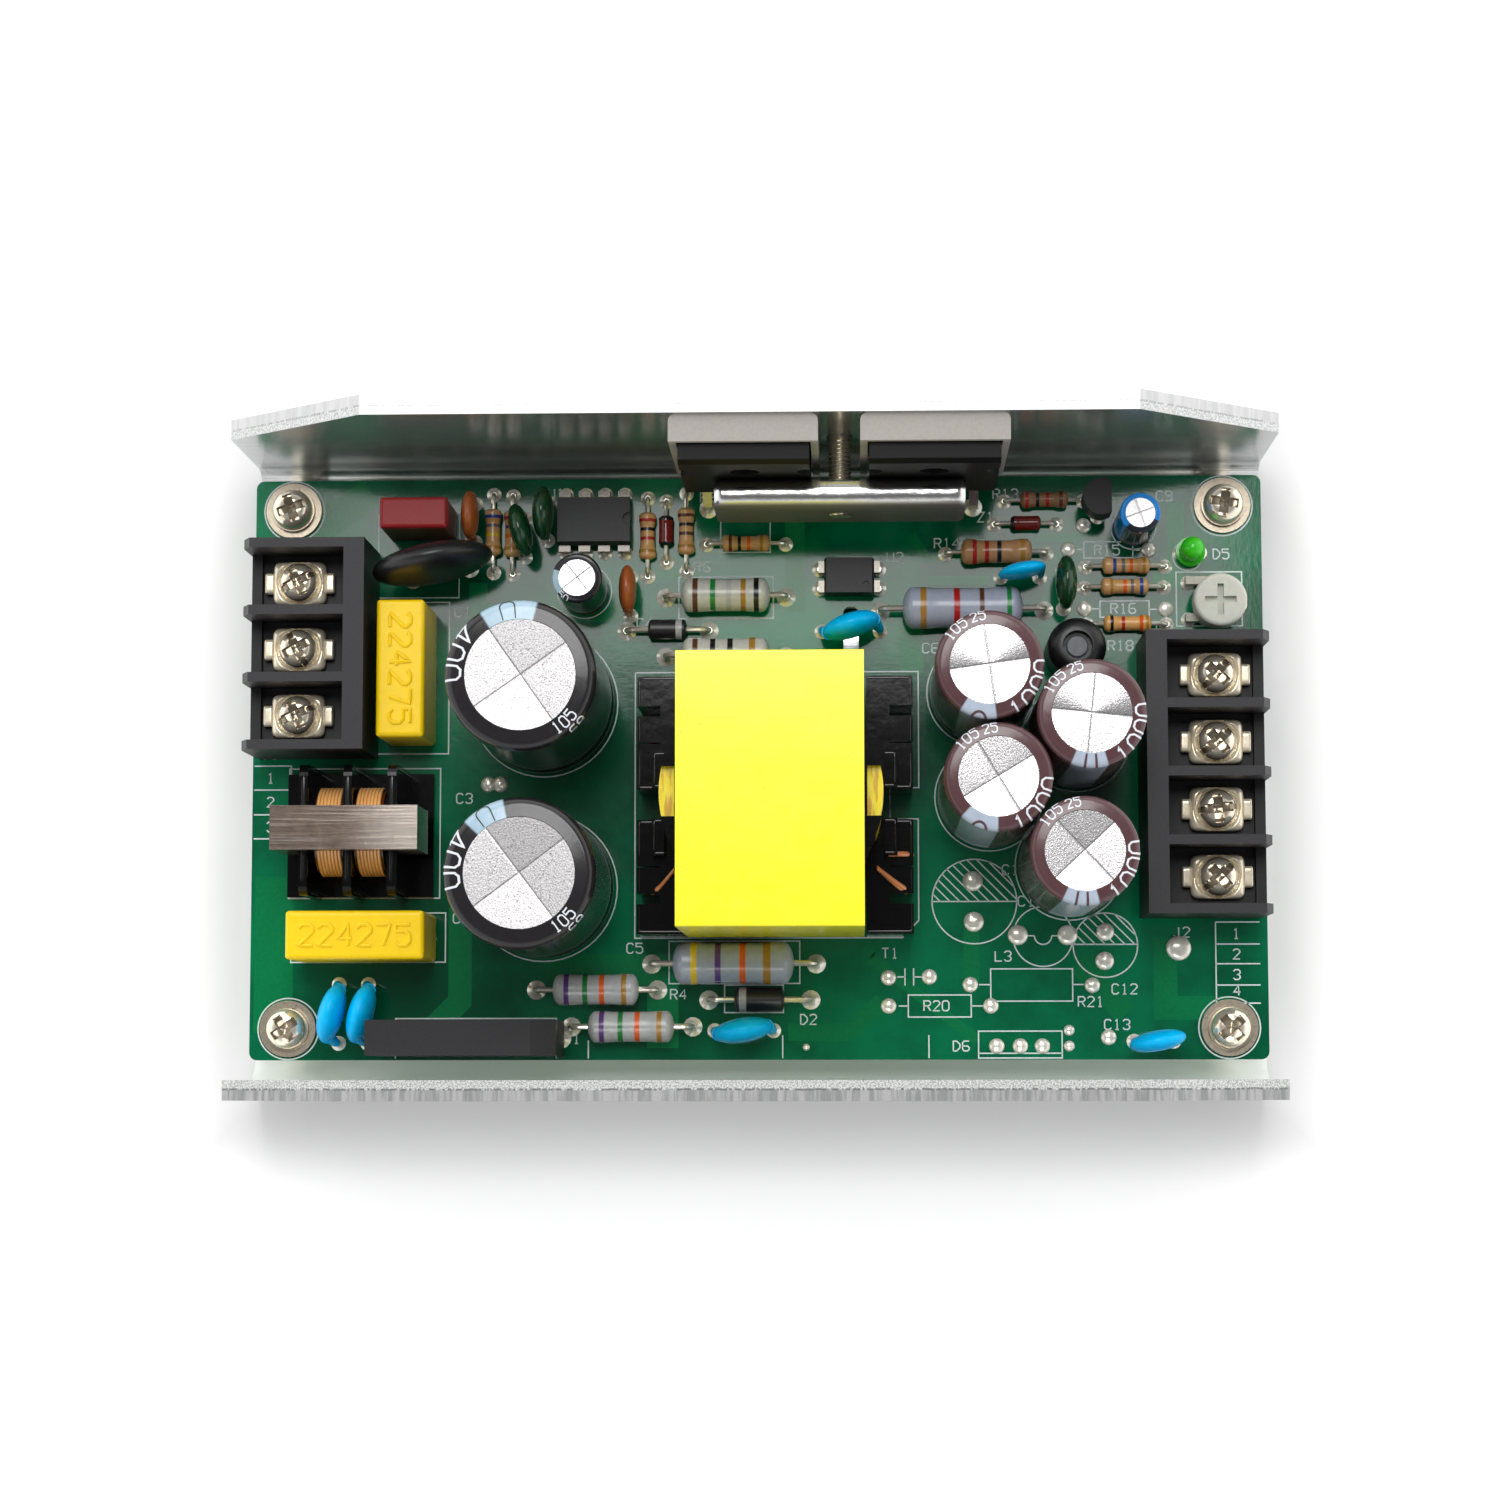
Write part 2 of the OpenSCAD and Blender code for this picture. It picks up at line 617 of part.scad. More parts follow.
module circuit_board() color("seagreen") difference() {
    translate([0, 0, board_z]) linear_extrude(board_t) polygon(round_rect(board_l, board_d, board_r));
    for (p = fix_points) at_fix(p) translate([0, 0, -board_t - over])
        cylinder(d = screw_d + 2 * hole_clear, h = board_t + 2 * over);
    at(barrier_disc) translate([0, 0, -board_t - over]) linear_extrude(board_t + 2 * over)
        polygon(round_rect(slot_w, slot_l, slot_w * 0.4));
    device_holes();
    block_holes();
    wound_holes();
    for (p = [line_1, line_2]) at(p) pair(line_pitch) lead_hole(stout_lead);
    at(film) pair(film_pitch) lead_hole(thin_lead);
    at(thermistor) pair(thermistor_pitch) lead_hole(stout_lead);
    at(bridge) for (i = [-1.5:1:1.5]) translate([i * bridge_pitch, 0, 0]) lead_hole(stout_lead);
    for (p = bulk_places) at(p) pair(bulk_pitch) lead_hole(stout_lead);
    for (p = [output_1, output_2, output_3, output_4]) at(p) pair(output_lead_pitch) lead_hole(thin_lead);
    at(drum) pair(drum_pitch) lead_hole(thin_lead);
    for (p = [supply, feedback]) at(p) pair(supply_pitch) lead_hole(thin_lead);
    at(chip) chip_leads(4) lead_hole(thin_lead);
    at(opto) rotate(90) chip_leads(2) lead_hole(thin_lead);
    at(regulator) for (i = [-1:1]) translate([i * regulator_pitch, 0, 0]) lead_hole(thin_lead * 0.8);
    at(lamp) pair(lamp_pitch) lead_hole(thin_lead);
    at(trimmer) trimmer_leads() lead_hole(thin_lead);
    for (p = concat(line_discs, [barrier_disc, snubber_disc])) at(p) pair(disc_pitch) lead_hole(thin_lead);
    for (p = concat([output_disc, filter_disc], brown_discs)) at(p) pair(filter_pitch) lead_hole(thin_lead);
    for (p = green_films) at(p) pair(green_pitch) lead_hole(thin_lead);
    for (p = three_watts) at(p) pair(three_watt_pitch) lead_hole(stout_lead);
    for (p = concat(two_watts, bleeds)) at(p) pair(two_watt_pitch) lead_hole(stout_lead);
    at(one_watt) pair(one_watt_pitch) lead_hole(thin_lead);
    for (p = small_places) at(p) pair(small_pitch) lead_hole(thin_lead);
    at(power_diode_places[0]) pair(power_diode_pitch) lead_hole(stout_lead);
    at(power_diode_places[1]) pair(second_diode_pitch) lead_hole(stout_lead);
    for (p = glass_diode_places) at(p) pair(glass_pitch) lead_hole(thin_lead);
}

module board_standoffs() color("silver") for (p = fix_points) translate([p[0], p[1], 0]) difference() {
    union() {
        translate([0, 0, sheet_t]) cylinder(d = standoff_d, h = standoff_h);
        cylinder(d = standoff_shank_d, h = sheet_t + standoff_h / 2);
    }
    translate([0, 0, -over]) cylinder(d = screw_d + 2 * thread_clear, h = board_z + 2 * over);
}

module board_screws() color("lightgray") for (p = fix_points) at_fix(p)
    translate([0, 0, washer_t + spring_t]) rotate(20) pan_screw(screw_d, screw_l, screw_head_d, screw_head_h);

module spring_washers() color("silver")
    for (p = fix_points) at_fix(p) translate([0, 0, washer_t]) difference() {
    ring(spring_d, screw_d + 2 * hole_clear, spring_t);
    rotate([0, 30, 70]) translate([0, -0.2, -over]) cube([spring_d, 0.4, spring_t + 3 * over]);
}

module flat_washers() color("gainsboro") for (p = fix_points) at_fix(p)
    ring(washer_d, screw_d + 2 * hole_clear, washer_t);

// Power devices

device_back = -cap_wall;
device_front = device_back - device_t;
device_lead_y = device_front - 0.6;
device_lead_w = 1.2;
device_lead_t = 0.6;

module device_holes() {
    for (s = [-1, 1], i = [-1:1]) at_rear(s * device_dx + i * device_pitch) translate([0, device_lead_y, 0])
        lead_hole(sqrt(pow(device_lead_w, 2) + pow(device_lead_t, 2)));
}

// Flat three-lead package, standing with its back on the insulating cap; leads joggle forward to the board
module power_package(side) {
    bevel = 0.1 * device_t;
    notch_r = 0.1 * device_w;
    root_y = device_back - device_t / 2;
    t = device_lead_t / 2;
    hole_z = device_z + device_h - device_hole_drop;
    at_rear(side * device_dx) {
        difference() {
            rotate([90, 0, 90]) linear_extrude(device_w, center = true) polygon([[device_back, device_z],
                [device_back, device_z + device_h], [device_front + bevel, device_z + device_h],
                [device_front, device_z + device_h - 2 * bevel], [device_front, device_z + 2 * bevel],
                [device_front + bevel, device_z]]);
            translate([0, over, hole_z]) rotate([90, 0, 0])
                cylinder(d = device_hole_d, h = device_t + 3 * over);
            for (s = [-1, 1]) translate([s * device_w / 2, over, hole_z]) rotate([90, 0, 0])
                cylinder(r = notch_r, h = device_t + 3 * over);
        }
        for (i = [-1:1]) translate([i * device_pitch, 0, 0]) rotate([90, 0, 90])
            linear_extrude(device_lead_w, center = true) polygon([[root_y - t, device_z + over],
                [root_y + t, device_z + over], [root_y + t, device_z * 0.75],
                [device_lead_y + t, device_z * 0.4], [device_lead_y + t, -board_t - lead_stub],
                [device_lead_y - t, -board_t - lead_stub], [device_lead_y - t, device_z * 0.4],
                [root_y - t, device_z * 0.75]]);
    }
}

module power_transistor() color("dimgray") power_package(-1);

module output_rectifier() color("dimgray") power_package(1);

// Silicone cap: back, sides and top round the package, open at the front and at the foot
module insulating_cap(side) {
    inner_w = device_w + 2 * slip;
    outer_w = inner_w + 2 * cap_wall;
    foot = device_z - cap_wall;
    top = device_z + device_h + slip;
    at_rear(side * device_dx) translate([0, 0, foot]) difference() {
        translate([0, -cap_depth / 2, 0]) linear_extrude(top + cap_wall - foot)
            polygon(concat(arc([outer_w / 2 - cap_wall, cap_depth / 2 - cap_wall], cap_wall, 0, 90),
                arc([-outer_w / 2 + cap_wall, cap_depth / 2 - cap_wall], cap_wall, 90, 180),
                [[-outer_w / 2, -cap_depth / 2], [outer_w / 2, -cap_depth / 2]]));
        translate([-inner_w / 2, -cap_depth - over, -over])
            cube([inner_w, cap_depth - cap_wall + over, top - foot + over]);
    }
}

module transistor_cap() color("darkgray") insulating_cap(-1);

module rectifier_cap() color("darkgray") insulating_cap(1);

module clamp_bar() color("whitesmoke") at_rear(0) difference() {
    translate([0, device_front - bar_t / 2, bar_z - bar_h / 2]) rotate([90, 0, 90])
        linear_extrude(bar_l, center = true) polygon(arch(bar_t, bar_h, bar_t * 0.3));
    translate([0, device_front + over, bar_z]) rotate([90, 0, 0])
        cylinder(d = clamp_screw_d + 2 * thread_clear, h = bar_t + 2 * over);
}

module clamp_screw() color("silver") at_rear(0) translate([0, sheet_t / fit, bar_z]) rotate([-90, 0, 0])
    pan_screw(clamp_screw_d, sheet_t / fit - device_front + bar_t * 0.9,
        1.8 * clamp_screw_d, 0.7 * clamp_screw_d);

// Terminal blocks

block_leg_x = block_back + pole_screw_x - contact_l / 2 - slip;
block_leg_w = 1;

// Moves to a block: x outwards from its back, y along its row
module at_block(p) {
    translate([p[0] * block_back_x, p[1] * spread[1], board_top]) rotate(p[0] > 0 ? 0 : 180)
        scale(fit) children();
}

// Repeats over the poles of a block
module poles(count) {
    for (i = [0:count - 1]) translate([0, (i - (count - 1) / 2) * pole_pitch, 0]) children();
}

module each_pole() {
    at_block(input_block) poles(input_poles) children();
    at_block(output_block) poles(output_poles) children();
}

module block_holes() {
    each_pole() translate([block_leg_x, 0, 0]) lead_hole(block_leg_w * sqrt(2));
}

// Body of a barrier block: base with a cell per pole, back wall, and partitions that reach past the front
module terminal_body(count) {
    row = count * pole_pitch + block_wall;
    lip_top = block_floor + block_lip_h;
    nose = 2;
    well = 3;
    difference() {
        union() {
            translate([0, -row / 2, 0]) cube([block_d, row, lip_top]);
            translate([0, -row / 2, 0]) cube([block_back, row, block_h]);
            for (i = [0:count]) translate([0, (i - count / 2) * pole_pitch, 0]) rotate([90, 0, 0])
                linear_extrude(block_wall, center = true) polygon([[0, 0], [block_d, 0],
                    [block_d + block_tip, nose], [block_d + block_tip, block_h - nose],
                    [block_d + block_tip - nose / 2, block_h], [0, block_h]]);
        }
        poles(count) {
            translate([block_back, -cell_w / 2, block_floor])
                cube([block_d - block_lip - block_back, cell_w, block_h]);
            translate([block_back + pole_screw_x, 0, block_floor - well])
                cylinder(d = pole_screw_d + 2 * hole_clear, h = well + over);
            translate([block_leg_x - block_leg_w / 2 - slip, -block_leg_w / 2 - slip, -over])
                cube([block_leg_w + 2 * slip, block_leg_w + 2 * slip, block_floor + 2 * over]);
        }
    }
}

module input_terminal_body() color("darkslategray") at_block(input_block) terminal_body(input_poles);

module output_terminal_body() color("darkslategray") at_block(output_block) terminal_body(output_poles);

// Contact under each clamp plate, with its solder leg and the tapped hole of the terminal screw
module terminal_contacts() color("silver") each_pole() difference() {
    union() {
        translate([block_back + pole_screw_x - contact_l / 2, -contact_w / 2, block_floor])
            cube([contact_l, contact_w, contact_t]);
        translate([block_leg_x - block_leg_w / 2, -block_leg_w / 2, block_floor])
            cube([block_leg_w * 2, block_leg_w, contact_t]);
        translate([block_leg_x - block_leg_w / 2, -block_leg_w / 2, -board_t - lead_stub])
            cube([block_leg_w, block_leg_w, board_t + lead_stub + block_floor + contact_t / 2]);
    }
    translate([block_back + pole_screw_x, 0, block_floor - over])
        cylinder(d = pole_screw_d + 2 * thread_clear, h = contact_t + 2 * over);
}

// Clamp plate with cut corners and two side tabs
module terminal_clamps() color("gainsboro") each_pole()
    translate([block_back + pole_screw_x, 0, block_floor + contact_t]) difference() {
        cut = 0.2 * plate_l;
        l = plate_l / 2;
        w = plate_w / 2;
        union() {
            linear_extrude(plate_t) polygon([[l, w - cut], [l - cut, w], [cut - l, w], [-l, w - cut],
                [-l, cut - w], [cut - l, -w], [l - cut, -w], [l, cut - w]]);
            linear_extrude(plate_t * 0.7) square([2 * plate_reach, tab_w], center = true);
        }
        translate([0, 0, -over]) cylinder(d = pole_screw_d + 2 * hole_clear, h = plate_t + 2 * over);
    }

module terminal_screws() color("lightgray") each_pole()
    translate([block_back + pole_screw_x, 0, block_floor + contact_t + plate_t]) rotate(25)
        pan_screw(pole_screw_d, contact_t + plate_t + 2, pole_head_d, pole_head_h);

// Transformer and line choke

window_h = core_h - 2 * core_plate;
rail_top = core_z + core_plate + bobbin_t;
rail_in = core_w / 2 + tape_t + slip;
rail_pin_x = rail_reach - 2.4;
rail_wing = core_window_d * 0.56;
choke_axis_z = coil_d / 2 + choke_flange;
choke_bar_z = choke_axis_z + coil_d / 2 + slip;
choke_flange_x = [-coil_l - 1.5 * choke_flange - 2 * slip, 0, coil_l + 1.5 * choke_flange + 2 * slip];
choke_pins = [for (x = [choke_flange_x[0], choke_flange_x[2]], s = [-1, 1]) [x, s * choke_flange_w * 0.34]];

// Pin places of the two rails
module rail_pins() {
    for (sx = [-1, 1], sy = [-1, 1], i = [0:2])
        translate([sx * rail_pin_x, sy * (rail_gap + rail_start + i * rail_pitch), 0]) children();
}

module wound_holes() {
    at(transformer) rail_pins() lead_hole(stout_lead);
    at(choke) for (p = choke_pins) translate([p[0], p[1], 0]) lead_hole(stout_lead);
}

// One core half: plate, centre leg and the two outer legs round the winding window
module core_half() {
    half = core_h / 2 - slip / 4;
    difference() {
        translate([-core_w / 2, -core_l / 2, 0]) cube([core_w, core_l, half]);
        translate([0, 0, core_plate]) ring(core_window_d, core_leg_d, half);
        for (sx = [-1, 1]) translate([sx * core_w / 2 - core_w / 4, -core_window_d * 0.3, core_plate])
            difference() {
                cube([core_w / 2, core_window_d * 0.6, half]);
                translate([core_w / 4 - sx * core_w / 2, core_window_d * 0.3, -over])
                    cylinder(d = core_window_d - over, h = half + 2 * over);
            }
    }
}

module transformer_core() color("dimgray") at(transformer) translate([0, 0, core_z]) {
    core_half();
    translate([0, 0, core_h]) mirror([0, 0, 1]) core_half();
}

// Bobbin: tube on the centre leg, upper flange, lower flange with two rails that hang beside the core
module transformer_bobbin() color("darkslategray") at(transformer) {
    low = core_z + core_plate;
    flange_d = core_window_d - 2 * slip;
    cut = rail_in + core_window_d / 2;
    difference() {
        union() {
            translate([0, 0, low + slip / 2])
                cylinder(d = core_leg_d + 2 * slip + 2 * bobbin_t, h = window_h - slip);
            for (z = [low + slip / 2, low + window_h - bobbin_t - slip / 2]) translate([0, 0, z])
                intersection() {
                    cylinder(d = flange_d, h = bobbin_t);
                    translate([-core_window_d, -rail_wing / 2, 0])
                        cube([2 * core_window_d, rail_wing, bobbin_t]);
                }
            translate([-rail_reach, -rail_wing / 2, low + slip / 2])
                cube([2 * rail_reach, rail_wing, bobbin_t]);
            for (sx = [-1, 1], sy = [-1, 1]) rail_block(sx, sy);
        }
        translate([0, 0, low - over]) cylinder(d = core_leg_d + 2 * slip, h = window_h + 2 * over);
        for (sx = [-1, 1]) {
            translate([sx * cut, 0, low + window_h - 1.5 * bobbin_t])
                cube([core_window_d, 2 * flange_gap, 3 * bobbin_t], center = true);
            translate([sx * (flange_d + core_window_d) / 2, 0, low + bobbin_t])
                cube([core_window_d, 2 * rail_gap, 3 * bobbin_t], center = true);
        }
    }
    rail_pins() lead(stout_lead, slip * 4);
}

// One block of a pin rail, slotted for the wire ends, with a raised block beside the winding
module rail_block(sx, sy) {
    notch = 1.3;
    foot = slip * 2;
    depth = rail_reach - rail_in;
    difference() {
        translate([sx > 0 ? rail_in : -rail_reach, sy > 0 ? rail_gap : -rail_half_l, foot])
            cube([depth, rail_half_l - rail_gap, rail_top - foot + slip / 2]);
        for (i = [0:1])
            translate([sx * rail_reach, sy * (rail_gap + rail_start + (i + 0.5) * rail_pitch), rail_top / 2])
                cube([depth, notch, 2 * rail_top], center = true);
    }
    step_in = core_window_d / 2;
    step_out = rail_reach - 2;
    translate([sx > 0 ? step_in : -step_out, sy > 0 ? rail_gap : -rail_gap - rail_pitch, rail_top - over])
        cube([step_out - step_in, rail_pitch, rail_step + over]);
}

// Round winding between the bobbin's flanges
module transformer_winding() color("gold") at(transformer)
    translate([0, 0, core_z + core_plate + bobbin_t + slip])
        ring(core_window_d - 3 * slip, core_leg_d + 2 * bobbin_t + 4 * slip,
            window_h - 2 * bobbin_t - 2 * slip);

// Tape wrapped over the top, both ends and the foot of the core
module transformer_tape() color("yellow") at(transformer) translate([0, 0, core_z - slip / 4])
    rotate([90, 0, 90]) linear_extrude(core_w + tape_t, center = true) {
        inner_l = core_l + slip / 2;
        inner_h = core_h + slip / 2;
        difference() {
            translate([0, inner_h / 2])
                polygon(round_rect(inner_l + 2 * tape_t, inner_h + 2 * tape_t, tape_t));
            translate([-inner_l / 2, 0]) square([inner_l, inner_h]);
        }
    }

// Closed core frame of the line choke; its lower leg runs through the bobbin
module choke_core() color("gray") at(choke) {
    low = choke_axis_z - choke_leg / 2;
    high = choke_bar_z + choke_leg;
    rotate([90, 0, 0]) linear_extrude(choke_w, center = true) difference() {
        translate([-choke_l / 2, low]) square([choke_l, high - low]);
        translate([-choke_l / 2 + choke_leg, low + choke_leg])
            square([choke_l - 2 * choke_leg, choke_bar_z - low - choke_leg]);
    }
}

// Bobbin of the line choke: square tube, three flanges, base plate, four pins
module choke_bobbin() color("darkslategray") at(choke) {
    tube_y = choke_w + 2 * slip;
    tube_z = choke_leg + 2 * slip;
    tube_l = 2 * choke_flange_x[2] + choke_flange;
    difference() {
        union() {
            translate([0, 0, choke_axis_z])
                cube([tube_l, tube_y + 2 * choke_flange, tube_z + 2 * choke_flange], center = true);
            for (x = choke_flange_x) translate([x, 0, slip]) rotate([90, 0, 90])
                linear_extrude(choke_flange, center = true)
                    polygon(arch(choke_flange_w, choke_bar_z - 2 * slip, 1.5));
            translate([-choke_base_l / 2, -choke_base_w / 2, slip])
                cube([choke_base_l, choke_base_w, choke_flange - 1.5 * slip]);
        }
        translate([0, 0, choke_axis_z]) cube([tube_l + over, tube_y, tube_z], center = true);
    }
    for (p = choke_pins) translate([p[0], p[1], 0]) lead(stout_lead, 2);
}

// The two windings of the line choke
module choke_windings() color("peru") at(choke) for (s = [-1, 1])
    translate([s * (coil_l + choke_flange + 2 * slip) / 2, 0, choke_axis_z]) difference() {
        rotate([0, 90, 0]) cylinder(d = coil_d, h = coil_l, center = true);
        cube([coil_l + over, choke_w + 2 * choke_flange + 4 * slip,
            choke_leg + 2 * choke_flange + 4 * slip], center = true);
    }

// Line side

module line_capacitor() {
    translate([0, 0, slip]) soft_box(line_l, line_t, line_h, 0.6);
    pair(line_pitch) lead(stout_lead, slip + 1);
}

module line_capacitor_1() color("gold") at(line_1) line_capacitor();

module line_capacitor_2() color("gold") at(line_2) line_capacitor();

module film_capacitor() color("brown") at(film) {
    translate([0, 0, slip]) soft_box(film_w, film_t, film_h, 0.12 * film_t);
    pair(film_pitch) lead(thin_lead, slip + 1);
}

module inrush_thermistor() color("black") at(thermistor) {
    lift = thermistor_lift;
    translate([0, 0, lift + thermistor_d / 2]) rotate([90, 0, 0]) rotate_extrude()
        polygon(lens(thermistor_d, thermistor_t));
    pair(thermistor_pitch) lead(stout_lead, lift + thermistor_d * 0.3);
}

// Upright bridge rectifier with one bevelled upper corner and four leads in a row
module bridge_rectifier() color("dimgray") at(bridge) {
    foot = 0.07 * bridge_h;
    top = foot + bridge_h;
    bevel = 0.2 * bridge_h;
    end = bridge_w / 2;
    rotate([90, 0, 0]) linear_extrude(bridge_t, center = true)
        polygon([[-end, foot], [end, foot], [end, top - bevel], [end - bevel, top], [-end, top]]);
    for (i = [-1.5:1:1.5]) translate([i * bridge_pitch, 0, 0]) lead(stout_lead, foot + over);
}

module bulk_capacitor_1() color("black")
    at(bulk_places[0]) electrolytic(bulk_d, bulk_h, bulk_pitch, stout_lead, 2);

module bulk_capacitor_2() color("black")
    at(bulk_places[1]) electrolytic(bulk_d, bulk_h, bulk_pitch, stout_lead, 2);

module line_disc_capacitors() color("deepskyblue")
    for (p = line_discs) at(p) disc_part(disc_d, disc_t, disc_pitch, disc_lift);

// Output side

module output_capacitor(p) {
    color("saddlebrown") at(p) electrolytic(output_d, output_h, output_lead_pitch, thin_lead, 2);
}

module output_capacitor_1() output_capacitor(output_1);

module output_capacitor_2() output_capacitor(output_2);

module output_capacitor_3() output_capacitor(output_3);

module output_capacitor_4() output_capacitor(output_4);

// Drum choke: sleeve drawn in to a round mouth over a sunk ferrite drum
module output_choke() color("black") at(drum) {
    r = drum_d / 2;
    foot = 0.04 * drum_d;
    bend = 0.24 * drum_d;
    mouth = 0.26 * drum_d;
    sink = 0.14 * drum_h;
    translate([0, 0, slip]) rotate_extrude() polygon(concat([[0, 0], [r - foot, 0], [r, foot]],
        arc([r - bend, drum_h - bend], bend, 0, 90),
        [[mouth, drum_h - foot], [mouth, drum_h - sink], [0.7 * mouth, drum_h - sink],
        [0.6 * mouth, drum_h - 0.6 * sink], [0, drum_h - 0.6 * sink]]));
    pair(drum_pitch) lead(thin_lead, slip + 1);
}

module output_disc_capacitor() color("deepskyblue")
    at(output_disc) disc_part(output_disc_d, output_disc_t, filter_pitch, low_disc_lift);

// Control parts

module supply_capacitor() color("black")
    at(supply) electrolytic(supply_d, supply_h, supply_pitch, thin_lead, 2);

module feedback_capacitor() color("dodgerblue")
    at(feedback) electrolytic(feedback_d, feedback_h, supply_pitch, thin_lead, 1);

// Lead places of a dual-in-line package with n leads a side
module chip_leads(n) {
    for (i = [0:n - 1], s = [-1, 1])
        translate([(i - (n - 1) / 2) * chip_pitch, s * chip_row / 2, 0]) children();
}

// Dual-in-line package: drafted body and shouldered leads
module dual_in_line(n, l, w, h) {
    foot = chip_foot;
    mid = foot + h / 2;
    draft = 0.3;
    t = 0.26;
    rotate([90, 0, 90]) linear_extrude(l, center = true) polygon([
        [-w / 2 + draft, foot], [w / 2 - draft, foot], [w / 2, mid],
        [w / 2 - draft, foot + h], [-w / 2 + draft, foot + h], [-w / 2, mid]]);
    for (i = [0:n - 1], s = [-1, 1]) translate([(i - (n - 1) / 2) * chip_pitch, 0, 0]) {
        rotate([90, 0, 90]) linear_extrude(1.5, center = true) polygon([[s * (w / 2 - over), mid - t / 2],
            [s * (chip_row / 2 - t / 2), mid - t / 2], [s * (chip_row / 2 - t / 2), foot],
            [s * (chip_row / 2 + t / 2), foot], [s * (chip_row / 2 + t / 2), mid + t / 2],
            [s * (w / 2 - over), mid + t / 2]]);
        translate([-thin_lead * 0.35, s * chip_row / 2 - t / 2, -board_t - lead_stub])
            cube([thin_lead * 0.7, t, board_t + lead_stub + foot + over / 2]);
    }
}

module controller_chip() color("dimgray") at(chip) difference() {
    dual_in_line(4, chip_l, chip_w, chip_h);
    translate([chip_l / 2, 0, chip_foot + chip_h * 0.85]) cylinder(r = 0.1 * chip_l, h = chip_h);
}

module optocoupler() color("dimgray") at(opto) rotate(90) difference() {
    dual_in_line(2, opto_l, opto_w, opto_h);
    translate([-0.28 * opto_l, -0.34 * opto_w, chip_foot + opto_h * 0.93])
        cylinder(r = 0.1 * opto_l, h = opto_h);
}

// Three-lead plastic package with one flat side
module shunt_regulator() color("black") at(regulator) {
    lift = regulator_lift;
    translate([0, 0, lift]) intersection() {
        cylinder(d = regulator_d, h = regulator_h);
        translate([-regulator_d, -0.26 * regulator_d, -over])
            cube([2 * regulator_d, regulator_d, 2 * regulator_h]);
    }
    for (i = [-1:1]) translate([i * regulator_pitch, 0, 0]) lead(thin_lead * 0.8, lift + over);
}

// Round lamp with a rim and a domed top
module indicator_lamp() color("limegreen") at(lamp) {
    r = lamp_d / 2;
    rim_h = 0.33 * lamp_d;
    translate([0, 0, slip]) rotate_extrude() polygon(concat([[0, 0], [1.25 * r, 0], [1.25 * r, rim_h],
        [r, 1.05 * rim_h]], arc([0, lamp_h - r], r, 0, 90, 8)));
    pair(lamp_pitch) lead(thin_lead, slip + 0.5);
}

rotor_z = trimmer_base_z + trimmer_base_t + slip / 4;
trimmer_tabs = [[-3.6, 2.9], [-3.6, -1.9], [3, 0]];

// Lead places of the trimmer: two at the track ends, one at the wiper
module trimmer_leads() {
    for (p = trimmer_tabs) translate([p[0], p[1], 0]) children();
}

// Trimmer base with its lead tabs and its pivot post
module trimmer_body() color("darkslategray") at(trimmer) {
    translate([0, 0, trimmer_base_z]) linear_extrude(trimmer_base_t) {
        polygon(round_rect(trimmer_base_w, trimmer_base_w, 0.4 * trimmer_base_w));
        for (p = trimmer_tabs) translate([p[0] / 2, p[1]]) square([abs(p[0]) + over, over], center = true);
    }
    translate([0, 0, trimmer_base_z]) cylinder(d = pivot_d, h = trimmer_base_t + pivot_h);
    trimmer_leads() lead(thin_lead, trimmer_base_z + trimmer_base_t / 2);
}

// Rotor that turns on the post, with a cross slot on top
module trimmer_rotor() color("white") at(trimmer) translate([0, 0, rotor_z]) difference() {
    rotate_extrude() polygon(concat(
        [[pivot_d / 2 + pivot_clear, 0], [rotor_d / 2 - 0.3, 0], [rotor_d / 2, 0.3]],
        arc([rotor_d / 2 - 0.5, rotor_h - 0.5], 0.5, 0, 90), [[0, rotor_h], [0, pivot_h + 0.1],
        [pivot_d / 2 + pivot_clear, pivot_h + 0.1]]));
    translate([0, 0, rotor_h]) cross_recess(4, 0.8, 0.8);
}

module barrier_disc_capacitor() color("deepskyblue")
    at(barrier_disc) disc_part(disc_d, disc_t, disc_pitch, disc_lift);

module snubber_disc_capacitor() color("deepskyblue")
    at(snubber_disc) disc_part(snubber_disc_d, disc_t, disc_pitch, low_disc_lift);

module filter_disc_capacitor() color("deepskyblue")
    at(filter_disc) disc_part(filter_disc_d, filter_disc_t, filter_pitch, filter_disc_lift);

module brown_disc_capacitors() color("sienna")
    for (p = brown_discs) at(p) disc_part(brown_disc_d, brown_disc_t, filter_pitch, brown_disc_lift);

module green_film_capacitors() color("darkgreen")
    for (p = green_films) at(p) dipped_slab(green_w, green_t, green_h, green_lift);

// Resistors and diodes

module three_watt_resistors() color("lightsteelblue") for (p = three_watts) at(p)
    resistor(three_watt_l, three_watt_d, three_watt_pitch, stout_lead);

module two_watt_resistors() color("lightgray") for (p = two_watts) at(p)
    resistor(two_watt_l, two_watt_d, two_watt_pitch, stout_lead);

module bleed_resistors() color("lightgray")
    for (p = bleeds) at(p) resistor(bleed_l, bleed_d, two_watt_pitch, stout_lead);

module one_watt_resistor() color("tan")
    at(one_watt) resistor(one_watt_l, one_watt_d, one_watt_pitch, thin_lead);

module small_resistors() color("tan")
    for (p = small_places) at(p) resistor(small_l, small_d, small_pitch, thin_lead);

module power_diodes() color("black") {
    at(power_diode_places[0]) diode(diode_l, diode_d, power_diode_pitch, stout_lead);
    at(power_diode_places[1]) diode(small_diode_l, small_diode_d, second_diode_pitch, stout_lead);
}

module glass_diodes() color("firebrick")
    for (p = glass_diode_places) at(p) diode(glass_l, glass_d, glass_pitch, thin_lead);

